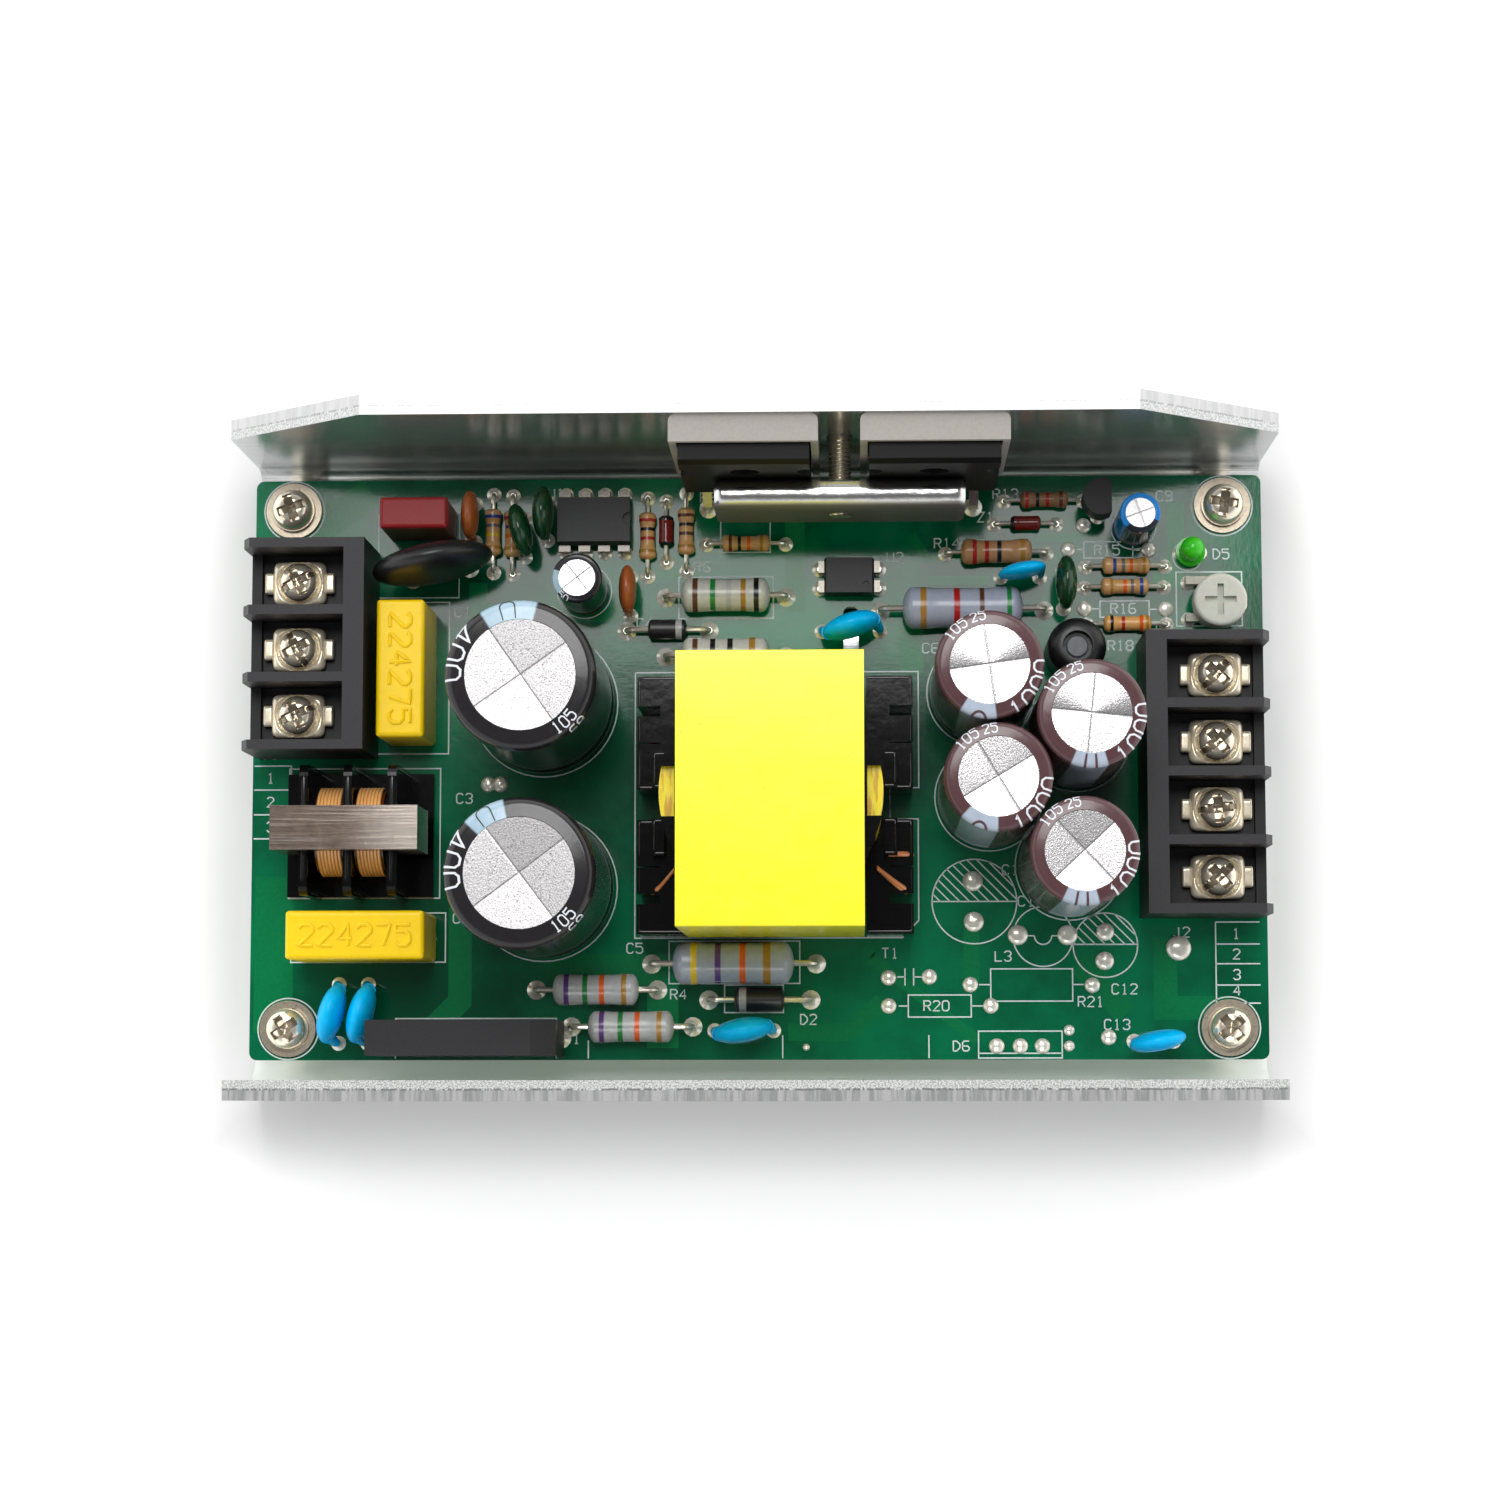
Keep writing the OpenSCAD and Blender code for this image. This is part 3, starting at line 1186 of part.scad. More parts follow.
bracket();
circuit_board();
board_standoffs();
board_screws();
spring_washers();
flat_washers();
clamp_bar();
clamp_screw();
power_transistor();
output_rectifier();
transistor_cap();
rectifier_cap();
input_terminal_body();
output_terminal_body();
terminal_contacts();
terminal_clamps();
terminal_screws();
line_capacitor_1();
line_capacitor_2();
choke_core();
choke_bobbin();
choke_windings();
film_capacitor();
inrush_thermistor();
bridge_rectifier();
bulk_capacitor_1();
bulk_capacitor_2();
transformer_bobbin();
transformer_core();
transformer_winding();
transformer_tape();
output_capacitor_1();
output_capacitor_2();
output_capacitor_3();
output_capacitor_4();
output_choke();
supply_capacitor();
feedback_capacitor();
controller_chip();
optocoupler();
shunt_regulator();
indicator_lamp();
trimmer_body();
trimmer_rotor();
line_disc_capacitors();
barrier_disc_capacitor();
snubber_disc_capacitor();
output_disc_capacitor();
filter_disc_capacitor();
brown_disc_capacitors();
green_film_capacitors();
three_watt_resistors();
two_watt_resistors();
bleed_resistors();
one_watt_resistor();
small_resistors();
power_diodes();
glass_diodes();
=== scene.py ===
import bpy
import numpy as np
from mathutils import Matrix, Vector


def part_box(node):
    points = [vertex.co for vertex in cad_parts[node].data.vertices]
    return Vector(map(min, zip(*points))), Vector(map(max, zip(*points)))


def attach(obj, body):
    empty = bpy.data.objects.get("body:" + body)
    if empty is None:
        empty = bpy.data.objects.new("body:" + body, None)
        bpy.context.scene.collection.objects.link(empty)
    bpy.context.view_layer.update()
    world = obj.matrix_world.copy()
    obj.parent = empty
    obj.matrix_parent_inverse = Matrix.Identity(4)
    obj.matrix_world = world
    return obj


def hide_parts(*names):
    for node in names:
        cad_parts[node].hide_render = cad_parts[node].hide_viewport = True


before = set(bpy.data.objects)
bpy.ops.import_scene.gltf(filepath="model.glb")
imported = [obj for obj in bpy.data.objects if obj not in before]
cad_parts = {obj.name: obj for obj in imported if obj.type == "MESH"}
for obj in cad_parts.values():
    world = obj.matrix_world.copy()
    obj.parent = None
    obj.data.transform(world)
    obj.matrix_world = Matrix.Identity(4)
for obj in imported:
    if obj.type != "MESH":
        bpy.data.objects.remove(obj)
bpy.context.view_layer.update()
mm = 0.001
tau = 2 * np.pi
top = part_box("circuit_board")[1].z / mm  # upper face of the board
under = top - 1.6  # its lower face
standing = 0.2  # parts stand this far above the board
leadEnd = -3.1  # and their leads end this far below its upper face
crease = 38  # degrees; edges bent more than this stay sharp


def tone(r, g, b):  # linear light of an sRGB colour given from 0 to 255
    c = np.array((r, g, b)) / 255
    c = np.where(c <= 0.04045, c / 12.92, ((c + 0.055) / 1.055) ** 2.4)
    return tuple(float(v) for v in c)


def eased(t):  # 0 to 1 with level ends: three squares less two cubes
    return t ** 2 * (3 - 2 * t)


class Value:  # a number in a node tree; sums with it add Math nodes
    def __init__(self, nodes, socket):
        self.nodes = nodes
        self.socket = socket

    def __add__(self, other):
        return self.nodes.math("ADD", self, other)

    def __sub__(self, other):
        return self.nodes.math("SUBTRACT", self, other)

    def __rsub__(self, other):
        return self.nodes.math("SUBTRACT", other, self)

    def __mul__(self, other):
        return self.nodes.math("MULTIPLY", self, other)

    def __gt__(self, other):
        return self.nodes.math("GREATER_THAN", self, other)

    def __lt__(self, other):
        return self.nodes.math("LESS_THAN", self, other)

    def __or__(self, other):
        return self.nodes.math("MAXIMUM", self, other)

    def __abs__(self):
        return self.nodes.math("ABSOLUTE", self, 0)

    __radd__ = __add__
    __rmul__ = __mul__


class Nodes:  # a node tree and what is added to it
    def __init__(self, tree):
        self.tree = tree

    def put(self, socket, value):  # a link, a colour or a number
        if isinstance(value, Value):
            value = value.socket
        if isinstance(value, bpy.types.NodeSocket):
            self.tree.links.new(value, socket)
        elif socket.type == "RGBA":
            socket.default_value = (*value, 1)
        else:
            socket.default_value = value

    def node(self, kind, settings=None, **sockets):
        made = self.tree.nodes.new("ShaderNode" + kind)
        for key, value in (settings or {}).items():
            setattr(made, key, value)
        for key, value in sockets.items():
            self.put(made.inputs[key.replace("_", " ")], value)
        return made

    def math(self, operation, a, b):
        made = self.node("Math", {"operation": operation})
        self.put(made.inputs[0], a)
        self.put(made.inputs[1], b)
        return Value(self, made.outputs[0])

    def mix(self, a, b, factor):  # colour a where factor is 0, b where it is 1
        made = self.node("Mix", {"data_type": "RGBA"})
        for number, value in ((0, factor), (6, a), (7, b)):
            self.put(made.inputs[number], value)
        return made.outputs[2]

    def split(self, vector):
        return [Value(self, socket) for socket in self.node("SeparateXYZ", None, Vector=vector).outputs]

    def step(self, value, low, high, start=0, end=1):  # smooth, from start at low to end at high
        made = self.node("MapRange", {"interpolation_type": "SMOOTHSTEP"}, Value=value,
                         From_Min=low, From_Max=high, To_Min=start, To_Max=end)
        return Value(self, made.outputs[0])


class Finish(Nodes):  # a material: one Principled shader and the nodes that feed it
    def __init__(self, name, **sockets):
        self.material = bpy.data.materials.new(name)
        self.material.use_nodes = True
        super().__init__(self.material.node_tree)
        self.shader = self.tree.nodes["Principled BSDF"]
        self.set(**sockets)

    def set(self, **sockets):
        for key, value in sockets.items():
            self.put(self.shader.inputs[key.replace("_", " ")], value)
        return self

    def fed(self, key):  # what already feeds a socket of the shader
        return self.shader.inputs[key].links[0].from_socket

    def place(self, stretch=(1, 1, 1)):  # Object coordinates in mm, stretched
        made = self.node("VectorMath", {"operation": "MULTIPLY"})
        self.put(made.inputs[0], self.node("TexCoord").outputs["Object"])
        self.put(made.inputs[1], tuple(s / mm for s in stretch))
        return made.outputs[0]

    def axes(self):  # x, y and z in mm
        return self.split(self.place())

    def facing(self):  # the surface's own normal
        return self.split(self.node("NewGeometry").outputs["Normal"])

    def noise(self, scale, detail=2, stretch=(1, 1, 1)):  # about 0.3 to 0.7
        made = self.node("TexNoise", None, Vector=self.place(stretch), Scale=scale, Detail=detail)
        return Value(self, made.outputs[0])

    def tint(self):  # the piece's own painted colour
        return self.node("Attribute", {"attribute_name": "tint"}).outputs["Color"]

    def over(self, color, factor):  # another colour laid on the present one
        return self.set(Base_Color=self.mix(self.fed("Base Color"), color, factor))

    def bump(self, height, depth, strength=1):  # depth in mm
        made = self.node("Bump", None, Height=height, Distance=depth * mm, Strength=strength)
        return self.set(Normal=made.outputs[0])


def worn(name, color, rough, grain=3, vary=0.12, dents=(8, 0.004), shift=0.08, **sockets):
    # colour and gloss drift with noise over a slightly uneven surface; without a colour, the piece's paint
    made = Finish(name, **sockets)
    base = tone(*color) if color else made.tint()
    shade = made.mix(base, (0, 0, 0), made.step(made.noise(grain, 4), 0.35, 0.75) * vary)
    made.set(Base_Color=shade, Roughness=made.noise(grain * 2.3, 2) * shift + (rough - shift / 2))
    return made.bump(made.noise(dents[0], 3), dents[1])


leadTone, leadRough = (205, 203, 196), 0.24


def package(name, color, rough, bare, cross=None, metal=leadTone, **sockets):
    # moulded plastic whose leads show below a height, and outside a cross given by its middle and half widths
    made = worn(name, color, rough, **sockets)
    x, y, z = made.axes()
    lead = z < top + bare
    if cross:
        lead = lead | (abs(x - cross[0]) > cross[2]) | (abs(y - cross[1]) > cross[3])
    gloss = Value(made, made.fed("Roughness"))
    made.set(Metallic=lead, Roughness=gloss + (leadRough - gloss) * lead)
    return made.over(tone(*metal), lead)


def dress(made, *nodes):  # gives CAD nodes their material
    for node in nodes:
        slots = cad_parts[node].data.materials
        slots.clear()
        slots.append(made.material)


def surface(grid, closeRows=False, closeCols=False, tint=None):
    # a net of points as points, faces and colours; points that coincide become one
    rows, cols = grid.shape[:2]
    i = np.arange(rows if closeRows else rows - 1)[:, None]
    j = np.arange(cols if closeCols else cols - 1)[None]
    i1, j1 = (i + 1) % rows, (j + 1) % cols
    faces = np.stack([i * cols + j, i * cols + j1, i1 * cols + j1, i1 * cols + j], -1).reshape(-1, 4)
    points = grid.reshape(-1, 3)
    tint = np.broadcast_to(np.ones(3) if tint is None else tint, grid.shape).reshape(-1, 3)
    kept, back = np.unique(np.round(points, 4), axis=0, return_index=True, return_inverse=True)[1:]
    faces = back.reshape(-1)[faces]
    return points[kept], faces, tint[kept]


def turned(profile, sides=40, tint=None):  # a profile of (radius, height) turned about z
    r, z = np.array(profile, float).T
    a = np.arange(sides) * tau / sides
    grid = np.stack([np.outer(r, np.cos(a)), np.outer(r, np.sin(a)), np.outer(z, np.ones(sides))], -1)
    return surface(grid, False, True, tint)


def tube(path, side, radius, sides=10, tint=None):
    # circles carried along a path, square to it; side is a direction square to the path
    path = np.array(path, float)
    along = np.gradient(path, axis=0)
    along /= np.linalg.norm(along, axis=1)[:, None]
    side = np.broadcast_to(np.array(side, float), path.shape)
    third = np.cross(along, side)
    radius = np.broadcast_to(radius, len(path)).astype(float)
    ends = np.r_[0, np.arange(len(path)), len(path) - 1]
    path, side, third, radius = path[ends], side[ends], third[ends], radius[ends].copy()
    radius[[0, -1]] = 0
    a = np.arange(sides) * tau / sides
    ring = np.cos(a)[None, :, None] * side[:, None] + np.sin(a)[None, :, None] * third[:, None]
    return surface(path[:, None] + radius[:, None, None] * ring, False, True, tint)


def refined(path, count):  # each straight run of a line divided by count points
    path = np.array(path, float)
    runs = [np.linspace(a, b, count)[:-1] for a, b in zip(path[:-1], path[1:])]
    return np.concatenate(runs + [path[-1:]])


def rolled(path, radius):  # a rounded edge: a bar carried along a line of straight runs
    path = np.array(path, float)
    across = np.ptp(path[:, 0]) == 0
    return tube(refined(path, 9), (1, 0, 0) if across else (0, 0, 1), radius, 12)


def ribbon(path, width, level, closed=False):  # a flat line of one width, mitred at its corners
    p = np.array(path, float)
    if closed:
        ahead, behind = np.roll(p, -1, 0) - p, p - np.roll(p, 1, 0)
    else:
        ahead = np.diff(p, axis=0)[np.r_[np.arange(len(p) - 1), len(p) - 2]]
        behind = np.diff(p, axis=0)[np.r_[0, np.arange(len(p) - 1)]]
    left, last = [np.stack([-v[:, 1], v[:, 0]], -1) / np.linalg.norm(v, axis=1)[:, None]
                  for v in (ahead, behind)]
    miter = (left + last) / np.maximum(1 + (left * last).sum(1), 0.5)[:, None] * width / 2
    flat = np.stack([p + miter, p - miter], 1)
    return surface(np.concatenate([flat, np.full((*flat.shape[:2], 1), level)], -1), closed)


def moved(part, x=0, y=0, z=0, turn=0):  # turned about z by degrees, then shifted
    points, faces, tint = part
    c, s = np.cos(np.radians(turn)), np.sin(np.radians(turn))
    return points @ np.array([[c, s, 0], [-s, c, 0], [0, 0, 1]]) + (x, y, z), faces, tint


def onBoard(part, place):  # from its own place on the board to the shared frame
    return moved(part, place[0], place[1], top, place[2] if len(place) > 2 else 0)


def lying(part, z=0):  # its axis along x
    return part[0][:, [2, 0, 1]] + (0, 0, z), part[1], part[2]


def upright(part, z=0):  # its axis along y
    return part[0][:, [1, 2, 0]] + (0, 0, z), part[1], part[2]


def flipped(part):  # turned over about x
    return part[0] * (1, -1, -1), part[1], part[2]


def repeated(part, places, level):  # the same shape at many places
    points, faces, tint = part
    places = np.c_[places, np.full(len(places), level)]
    step = len(points) * np.arange(len(places))[:, None, None]
    return ((points[None] + places[:, None]).reshape(-1, 3), (faces[None] + step).reshape(-1, 4),
            np.tile(tint, (len(places), 1)))


def piece(name, parts, made, instead=(), body="supply"):
    # parts joined as one mesh with their paint, riding on a body
    shift = np.cumsum([0] + [len(p[0]) for p in parts[:-1]])
    points = np.concatenate([p[0] for p in parts])
    tint = np.concatenate([p[2] for p in parts])
    faces = np.concatenate([p[1] + s for p, s in zip(parts, shift)])
    same = faces == np.roll(faces, -1, 1)
    quads = faces[same.sum(1) == 0]
    once = same.sum(1) == 1
    thirds = faces[once][~same[once]].reshape(-1, 3)  # a quad at a pole keeps three corners
    mesh = bpy.data.meshes.new(name)
    mesh.from_pydata(points * mm, [], quads.tolist() + thirds.tolist())
    paint = mesh.color_attributes.new("tint", "FLOAT_COLOR", "POINT")
    paint.data.foreach_set("color", np.c_[tint, np.ones(len(tint))].astype(np.float32).ravel())
    mesh.polygons.foreach_set("use_smooth", np.ones(len(mesh.polygons), bool))
    mesh.set_sharp_from_angle(angle=np.radians(crease))
    thing = bpy.data.objects.new(name, mesh)
    bpy.context.scene.collection.objects.link(thing)
    mesh.materials.append(made.material)
    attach(thing, body)
    if instead:
        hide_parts(*instead)


feet = []  # (x, y, lead radius) of every soldered lead
wires = []  # the bare leads of all parts, one piece at the end


def footed(place, offsets, radius):  # notes the feet of a part, turned with it
    turn = np.radians(place[2] if len(place) > 2 else 0)
    for dx, dy in offsets:
        feet.append((place[0] + dx * np.cos(turn) - dy * np.sin(turn),
                     place[1] + dx * np.sin(turn) + dy * np.cos(turn), radius))


def pair(pitch):  # offsets of two leads
    return [(-pitch / 2, 0), (pitch / 2, 0)]


print("stage: finishes of the CAD nodes")

# Bracket: brushed along its length, sheared edges on top whose outer half is torn
sheet = dict(rim=12, torn=(41.05, 41.25), seam=41.1, bend=(5, 9), front=-36.5, foot=2.4)
bracket = Finish("bracketAluminium", Emission_Strength=0.15)
by, bz = bracket.axes()[1:]
ny, nz = bracket.facing()[1:]
front, rear, sloped = by < 0, by > 0, nz < 0.97
edge = (nz > 0.35) * (bz > sheet["rim"])
low = (1 - bracket.step(bz, *sheet["bend"])) * front  # floor and front bend
inset = abs(by) + (bracket.noise(1.1, 3, (1, 0.1, 0.1)) - 0.5) * 0.3
outer = bracket.step(inset, *sheet["torn"])
brush = bracket.noise(2.2, 4, (0.06, 3, 3))
streak = bracket.noise(1.3, 3, (1.5, 0.1, 0.1))
# painted highlight: the rear flange's rim is made lighter, less on its sloped parts, and its dark seam is
# made fainter there
rimHighlight = tone(250, 250, 250)
torn = bracket.mix(tone(138, 139, 139), tone(172, 172, 172), bracket.step(streak, 0.35, 0.65))
torn = bracket.mix(torn, rimHighlight, rear * (0.96 - sloped * 0.5))
clean = bracket.mix(tone(150, 152, 151), tone(214, 215, 214), bracket.step(bracket.noise(5, 3), 0.36, 0.6))
clean = bracket.mix(clean, rimHighlight, rear * (0.7 - sloped * 0.5))
broken = bracket.step(bracket.noise(2.6, 2, (1, 0.1, 0.1)), 0.42, 0.5)
seam = bracket.step(0.16 - abs(inset - sheet["seam"]), 0, 0.08) * broken
rim = bracket.mix(bracket.mix(clean, torn, outer), tone(80, 80, 80), seam * (0.75 - rear * 0.4))
flat = bracket.mix(tone(192, 194, 194), tone(230, 232, 232), bracket.step(brush, 0.34, 0.66))
# painted highlight: the front flange's inner face is made paler
flat = bracket.mix(flat, tone(246, 247, 247), front * (ny > 0) * 0.75)  # the front flange's inner face
# painted light: the floor and front bend get a paler colour, standing in for light falling into the gap below
# the board's edge
flat = bracket.mix(flat, tone(238, 240, 238), low)
bracket.set(Base_Color=bracket.mix(flat, rim, edge), Metallic=0.84 - edge * 0.5 - low * 0.68,
            Roughness=edge * 0.28 + low * 0.2 + brush * 0.08 + 0.14)
# painted glow: emission in the front bend, standing in for light thrown there by the board's cut edge
bounce = low * (by < sheet["front"]) * (nz > 0.05) * (bz > sheet["foot"]) * (1 - edge)
bracket.set(Emission_Color=bracket.mix((0, 0, 0), tone(214, 240, 216), bounce))
bracket.bump(brush * 0.2 + streak * edge * outer * 0.5, 0.02, 0.6)
dress(bracket, "bracket")

# Board: green mask over glass cloth, pale cut edge
board = Finish("boardGreen", Specular_IOR_Level=0.32)
weave = board.noise(2.4, 2, (1, 0.35, 1)) + board.noise(2.4, 2, (0.35, 1, 1))
cloud = board.step(board.noise(0.06, 3) + weave * 0.05, 0.42, 0.72)
mask = board.mix(tone(0, 84, 54), tone(0, 122, 80), cloud)
face = abs(board.facing()[2]) > 0.5
board.set(Base_Color=board.mix(tone(196, 208, 160), mask, face), Roughness=weave * 0.04 + 0.06)
board.bump(weave, 0.003)
dress(board, "circuit_board")

# Metal fittings and terminal blocks
steel = worn("fixingSteel", (244, 234, 216), 0.15, 2.5, 0.1, (5, 0.003), 0.08, Metallic=0.85)
dress(steel, "board_standoffs")
washer = worn("washerSteel", (178, 166, 148), 0.3, 2.5, 0.2, (5, 0.006), 0.14, Metallic=0.9)
dress(washer, "spring_washers", "flat_washers")
tin = worn("contactTin", (252, 240, 214), 0.2, 3, 0.12, (6, 0.004), 0.1, Metallic=0.4)
dress(tin, "terminal_contacts")
charcoal = worn("terminalCharcoal", (42, 41, 44), 0.46, 5, 0.22, (26, 0.006), 0.1, Specular_IOR_Level=0.4)
# painted shade: the terminal bodies go near black low down, in their cells
charcoal.over(tone(14, 14, 15), 1 - charcoal.step(charcoal.axes()[2], top + 8, top + 15))  # dark low down
dress(charcoal, "input_terminal_body", "output_terminal_body")

# Moulded packages on bare leads
device = package("devicePackage", (15, 15, 17), 0.46, 7.98, vary=0.2, dents=(18, 0.006),
                 Specular_IOR_Level=0.16)
dress(device, "power_transistor", "output_rectifier")
silicone = worn("siliconeGrey", (164, 159, 154), 0.66, 3, 0.08, (16, 0.008), Subsurface_Weight=0.08,
                Subsurface_Scale=0.001)
dress(silicone, "transistor_cap", "rectifier_cap")
boxYellow = package("boxYellow", (255, 214, 8), 0.3, 0.19, vary=0.04, grain=0.8, dents=(0.5, 0.03),
                    Specular_IOR_Level=0.35)
dress(boxYellow, "line_capacitor_1", "line_capacitor_2")
dress(package("filmRed", (150, 34, 38), 0.34, 0.19, vary=0.15, dents=(3, 0.01), Specular_IOR_Level=0.25),
      "film_capacitor")
dress(package("bridgeGrey", (34, 33, 36), 0.42, 1.0, vary=0.25, dents=(20, 0.006), Specular_IOR_Level=0.35),
      "bridge_rectifier")
chipPlace, optoPlace = (-20.8, 31.6), (12, 24.2)
dress(package("chipBlack", (44, 45, 47), 0.44, 0.55, (*chipPlace, 5, 3.16), (96, 93, 88), vary=0.15,
              dents=(26, 0.005), Specular_IOR_Level=0.35), "controller_chip")
dress(package("optoBlack", (34, 34, 37), 0.42, 0.55, (*optoPlace, 3.21, 5), (120, 116, 108), vary=0.2,
              dents=(26, 0.005), Specular_IOR_Level=0.35), "optocoupler")
dress(package("regulatorBlack", (18, 18, 20), 0.42, 3.98, vary=0.2, dents=(22, 0.006),
              Specular_IOR_Level=0.25), "shunt_regulator")
dress(package("trimmerBase", (196, 192, 176), 0.45, 0.79, vary=0.2), "trimmer_body")
dress(package("lampGreen", (60, 206, 30), 0.16, 0.19, vary=0.1, dents=(2, 0.006), Subsurface_Weight=0.35,
              Subsurface_Scale=0.002), "indicator_lamp")
dress(worn("rotorWhite", (204, 206, 194), 0.4, 1.5, 0.08, (6, 0.008), Subsurface_Weight=0.3,
           Subsurface_Scale=0.0015), "trimmer_rotor")

# Ferrite: ground faces with fine scratches; the choke's bar has a painted sheen that grows towards the right
cores = dict(choke_core=dict(color=(116, 103, 94), metal=0.9, lit=(-52, -42)),
             transformer_core=dict(color=(78, 78, 82), metal=0.3, lit=None))
for node, core in cores.items():
    ferrite = worn("ferriteGrey", core["color"], 0.24, 0.7, 0.22, shift=0.12, Metallic=core["metal"])
    ground = ferrite.noise(1.6, 4, (0.06, 2.4, 2.4))
    if core["lit"]:
        lit = ferrite.step(ferrite.axes()[0], *core["lit"])
        ferrite.over(tone(206, 196, 186), lit * 0.6 + ferrite.step(ground, 0.5, 0.7) * 0.25)
    ferrite.bump(ground, 0.006)
    dress(ferrite, node)
bobbin = worn("bobbinBlack", (12, 12, 13), 0.1, 1.5, 0.2, (0.3, 0.02), 0.06, Specular_IOR_Level=0.22)
dress(bobbin, "choke_bobbin", "transformer_bobbin")

print("stage: wound parts")

# Transformer tape: film over the core, its seams showing as faint lines on the walls
tapeTop = top + 33
tape = Finish("tapeYellow", Coat_Weight=0.35, Coat_Roughness=0.12)
layer = tape.noise(3.2, 3, (0.02, 1, 1.2))
speck = tape.step(tape.noise(1.9, 3), 0.69, 0.73)
wall = tape.step(tapeTop - tape.axes()[2], 0, 2)  # 0 on the top face
shade = tape.mix(tone(255, 246, 30), tone(224, 200, 24), tape.step(layer, 0.5, 0.66) * (wall * 0.35 + 0.06))
tape.set(Base_Color=tape.mix(shade, tone(150, 120, 30), speck * 0.35),
         Roughness=tape.noise(0.5, 3) * 0.16 + 0.16)
tape.bump(tape.noise(0.22, 2, (1, 0.5, 1)) * 2 + layer * wall * 0.5, 0.06, 0.6)
dress(tape, "transformer_tape")

transformer = (2.6, -5.7)
winding = Finish("windingTape")
strand = winding.noise(2.2, 2, (1, 0.15, 0.15))
shade = winding.mix(tone(250, 226, 30), tone(200, 130, 24), winding.step(strand, 0.46, 0.62) * 0.7)
winding.set(Base_Color=shade, Roughness=strand * 0.2 + 0.14)
# painted shade: near black more than 4.4 to 5 mm from the transformer's middle along y
winding.over(tone(14, 13, 12), winding.step(abs(winding.axes()[1] - transformer[1]), 4.4, 5))
winding.bump(strand, 0.06)
dress(winding, "transformer_winding")

copper = worn("copper", None, 0.2, 2, 0.06, (6, 0.004), 0.1, Metallic=0.05, Specular_IOR_Level=0.9)
glossBlack = worn("bobbinEdge", (14, 14, 15), 0.16, 1.5, 0.2, (0.6, 0.01), 0.08)
# the turns' colours are a painted shade towards the grooves and a painted highlight on the outside; inside is
# painted shade on the former under the turns
choke = dict(place=(-50.8, -8.8), radius=5.4, axis=6.75, wire=0.25, turns=7, span=3.56, centres=(-2.5, 2.5),
             former=5.15, groove=(132, 56, 22), ridgeHighlight=(255, 192, 116), inside=(110, 46, 18))
flange = dict(places=(-5.55, 0, 5.55), half=8.2, foot=0.6, high=12.4, corner=1.5, radius=0.6)
rail = dict(inner=11.6, outer=17.3, near=1.9, far=16.2, level=9.8, notches=((12.7, 10.9), (8.1, 6.3)),
            radius=0.32)
block = dict(inner=13.8, outer=15.3, far=6.5, high=12.1)  # raised on each rail
sunk = 0.9  # of an edge bar's radius, so that it hardly stands out


def flangeRim(x):  # up one side of a choke flange, round its corners and down the other
    a = np.linspace(0, np.pi / 2, 7)
    half, high = [flange[key] - flange["radius"] * sunk for key in ("half", "high")]
    bend = flange["corner"]
    corner = np.c_[0 * a + x, half - bend + bend * np.cos(a), high - bend + bend * np.sin(a)]
    near, far = [[(x, y, flange["foot"])] for y in (half, -half)]
    return rolled(np.r_[near, corner, corner[::-1] * (1, -1, 1), far], flange["radius"])


def railEdges(sx, sy):  # the moulded edges of one pin rail, broken at its notches, and of the block on it
    r = rail["radius"] * sunk
    x, z = rail["outer"] - r, rail["level"] - r
    near, far = rail["near"] + r, rail["far"] - r
    (gap1, gap2), (gap3, gap4) = rail["notches"]
    wide, long, high = block["outer"] - r, block["far"] - r, block["high"] - r
    runs = [[(rail["inner"], far, z), (x, far, z), (x, gap1, z)],
            [(x, gap2, z), (x, gap3, z)],
            [(x, gap4, z), (x, near, z), (block["outer"], near, z)],
            [(block["inner"], long, high), (wide, long, high), (wide, near, high),
             (block["inner"], near, high)]]
    return [onBoard(rolled(np.array(q) * (sx, sy, 1), rail["radius"]), transformer) for q in runs]


def coil(centre):  # wire turns side by side round an axis along x, over a round former
    t = np.linspace(0, 1, choke["turns"] * 56 + 1)
    a = t * choke["turns"] * tau
    out = np.stack([np.zeros_like(a), np.sin(a), -np.cos(a)], -1)
    run = (t - 0.5) * (choke["span"] - 2 * choke["wire"])
    path = out * choke["radius"] + np.stack([run, 0 * t, 0 * t], -1)
    # painted highlight on the outside of each turn, fading to painted shade towards the grooves
    lit = np.clip(np.cos(np.arange(10) * tau / 10), 0, 1)[None, :, None] ** 0.7  # bright on the outside
    paint = np.array(tone(*choke["groove"])) * (1 - lit) + np.array(tone(*choke["ridgeHighlight"])) * lit
    half, core = choke["span"] / 2, choke["former"]
    former = turned([(0, -half), (core, -half), (core, half), (0, half)], 40, tone(*choke["inside"]))
    parts = tube(path, out, choke["wire"], 10, paint), lying(former)
    return [moved(p, centre, 0, choke["axis"]) for p in parts]


quarters = [(sx, sy) for sx in (-1, 1) for sy in (-1, 1)]
rims = [onBoard(flangeRim(x), choke["place"]) for x in flange["places"]]
piece("choke_flange_rims", rims, glossBlack)
piece("transformer_rail_edges", [e for q in quarters for e in railEdges(*q)], glossBlack)
turns = [onBoard(p, choke["place"]) for c in choke["centres"] for p in coil(c)]
piece("choke_turns", turns, copper, ["choke_windings"])

wireEnd = dict(radius=0.34, color=(226, 142, 84), arch=0.5, dive=(0.5, -1.6), runs=[
    ((-12.6, -8.19, 10.3), (-14.9, -10.94, 9.9)), ((12.7, -8.01, 10.9), (16.3, -10.77, 9.9)),
    ((12.7, -8.01, 10.6), (15.9, -10.89, 9.9)), ((14.2, -6.27, 10.2), (16.6, -6.27, 10.0))])


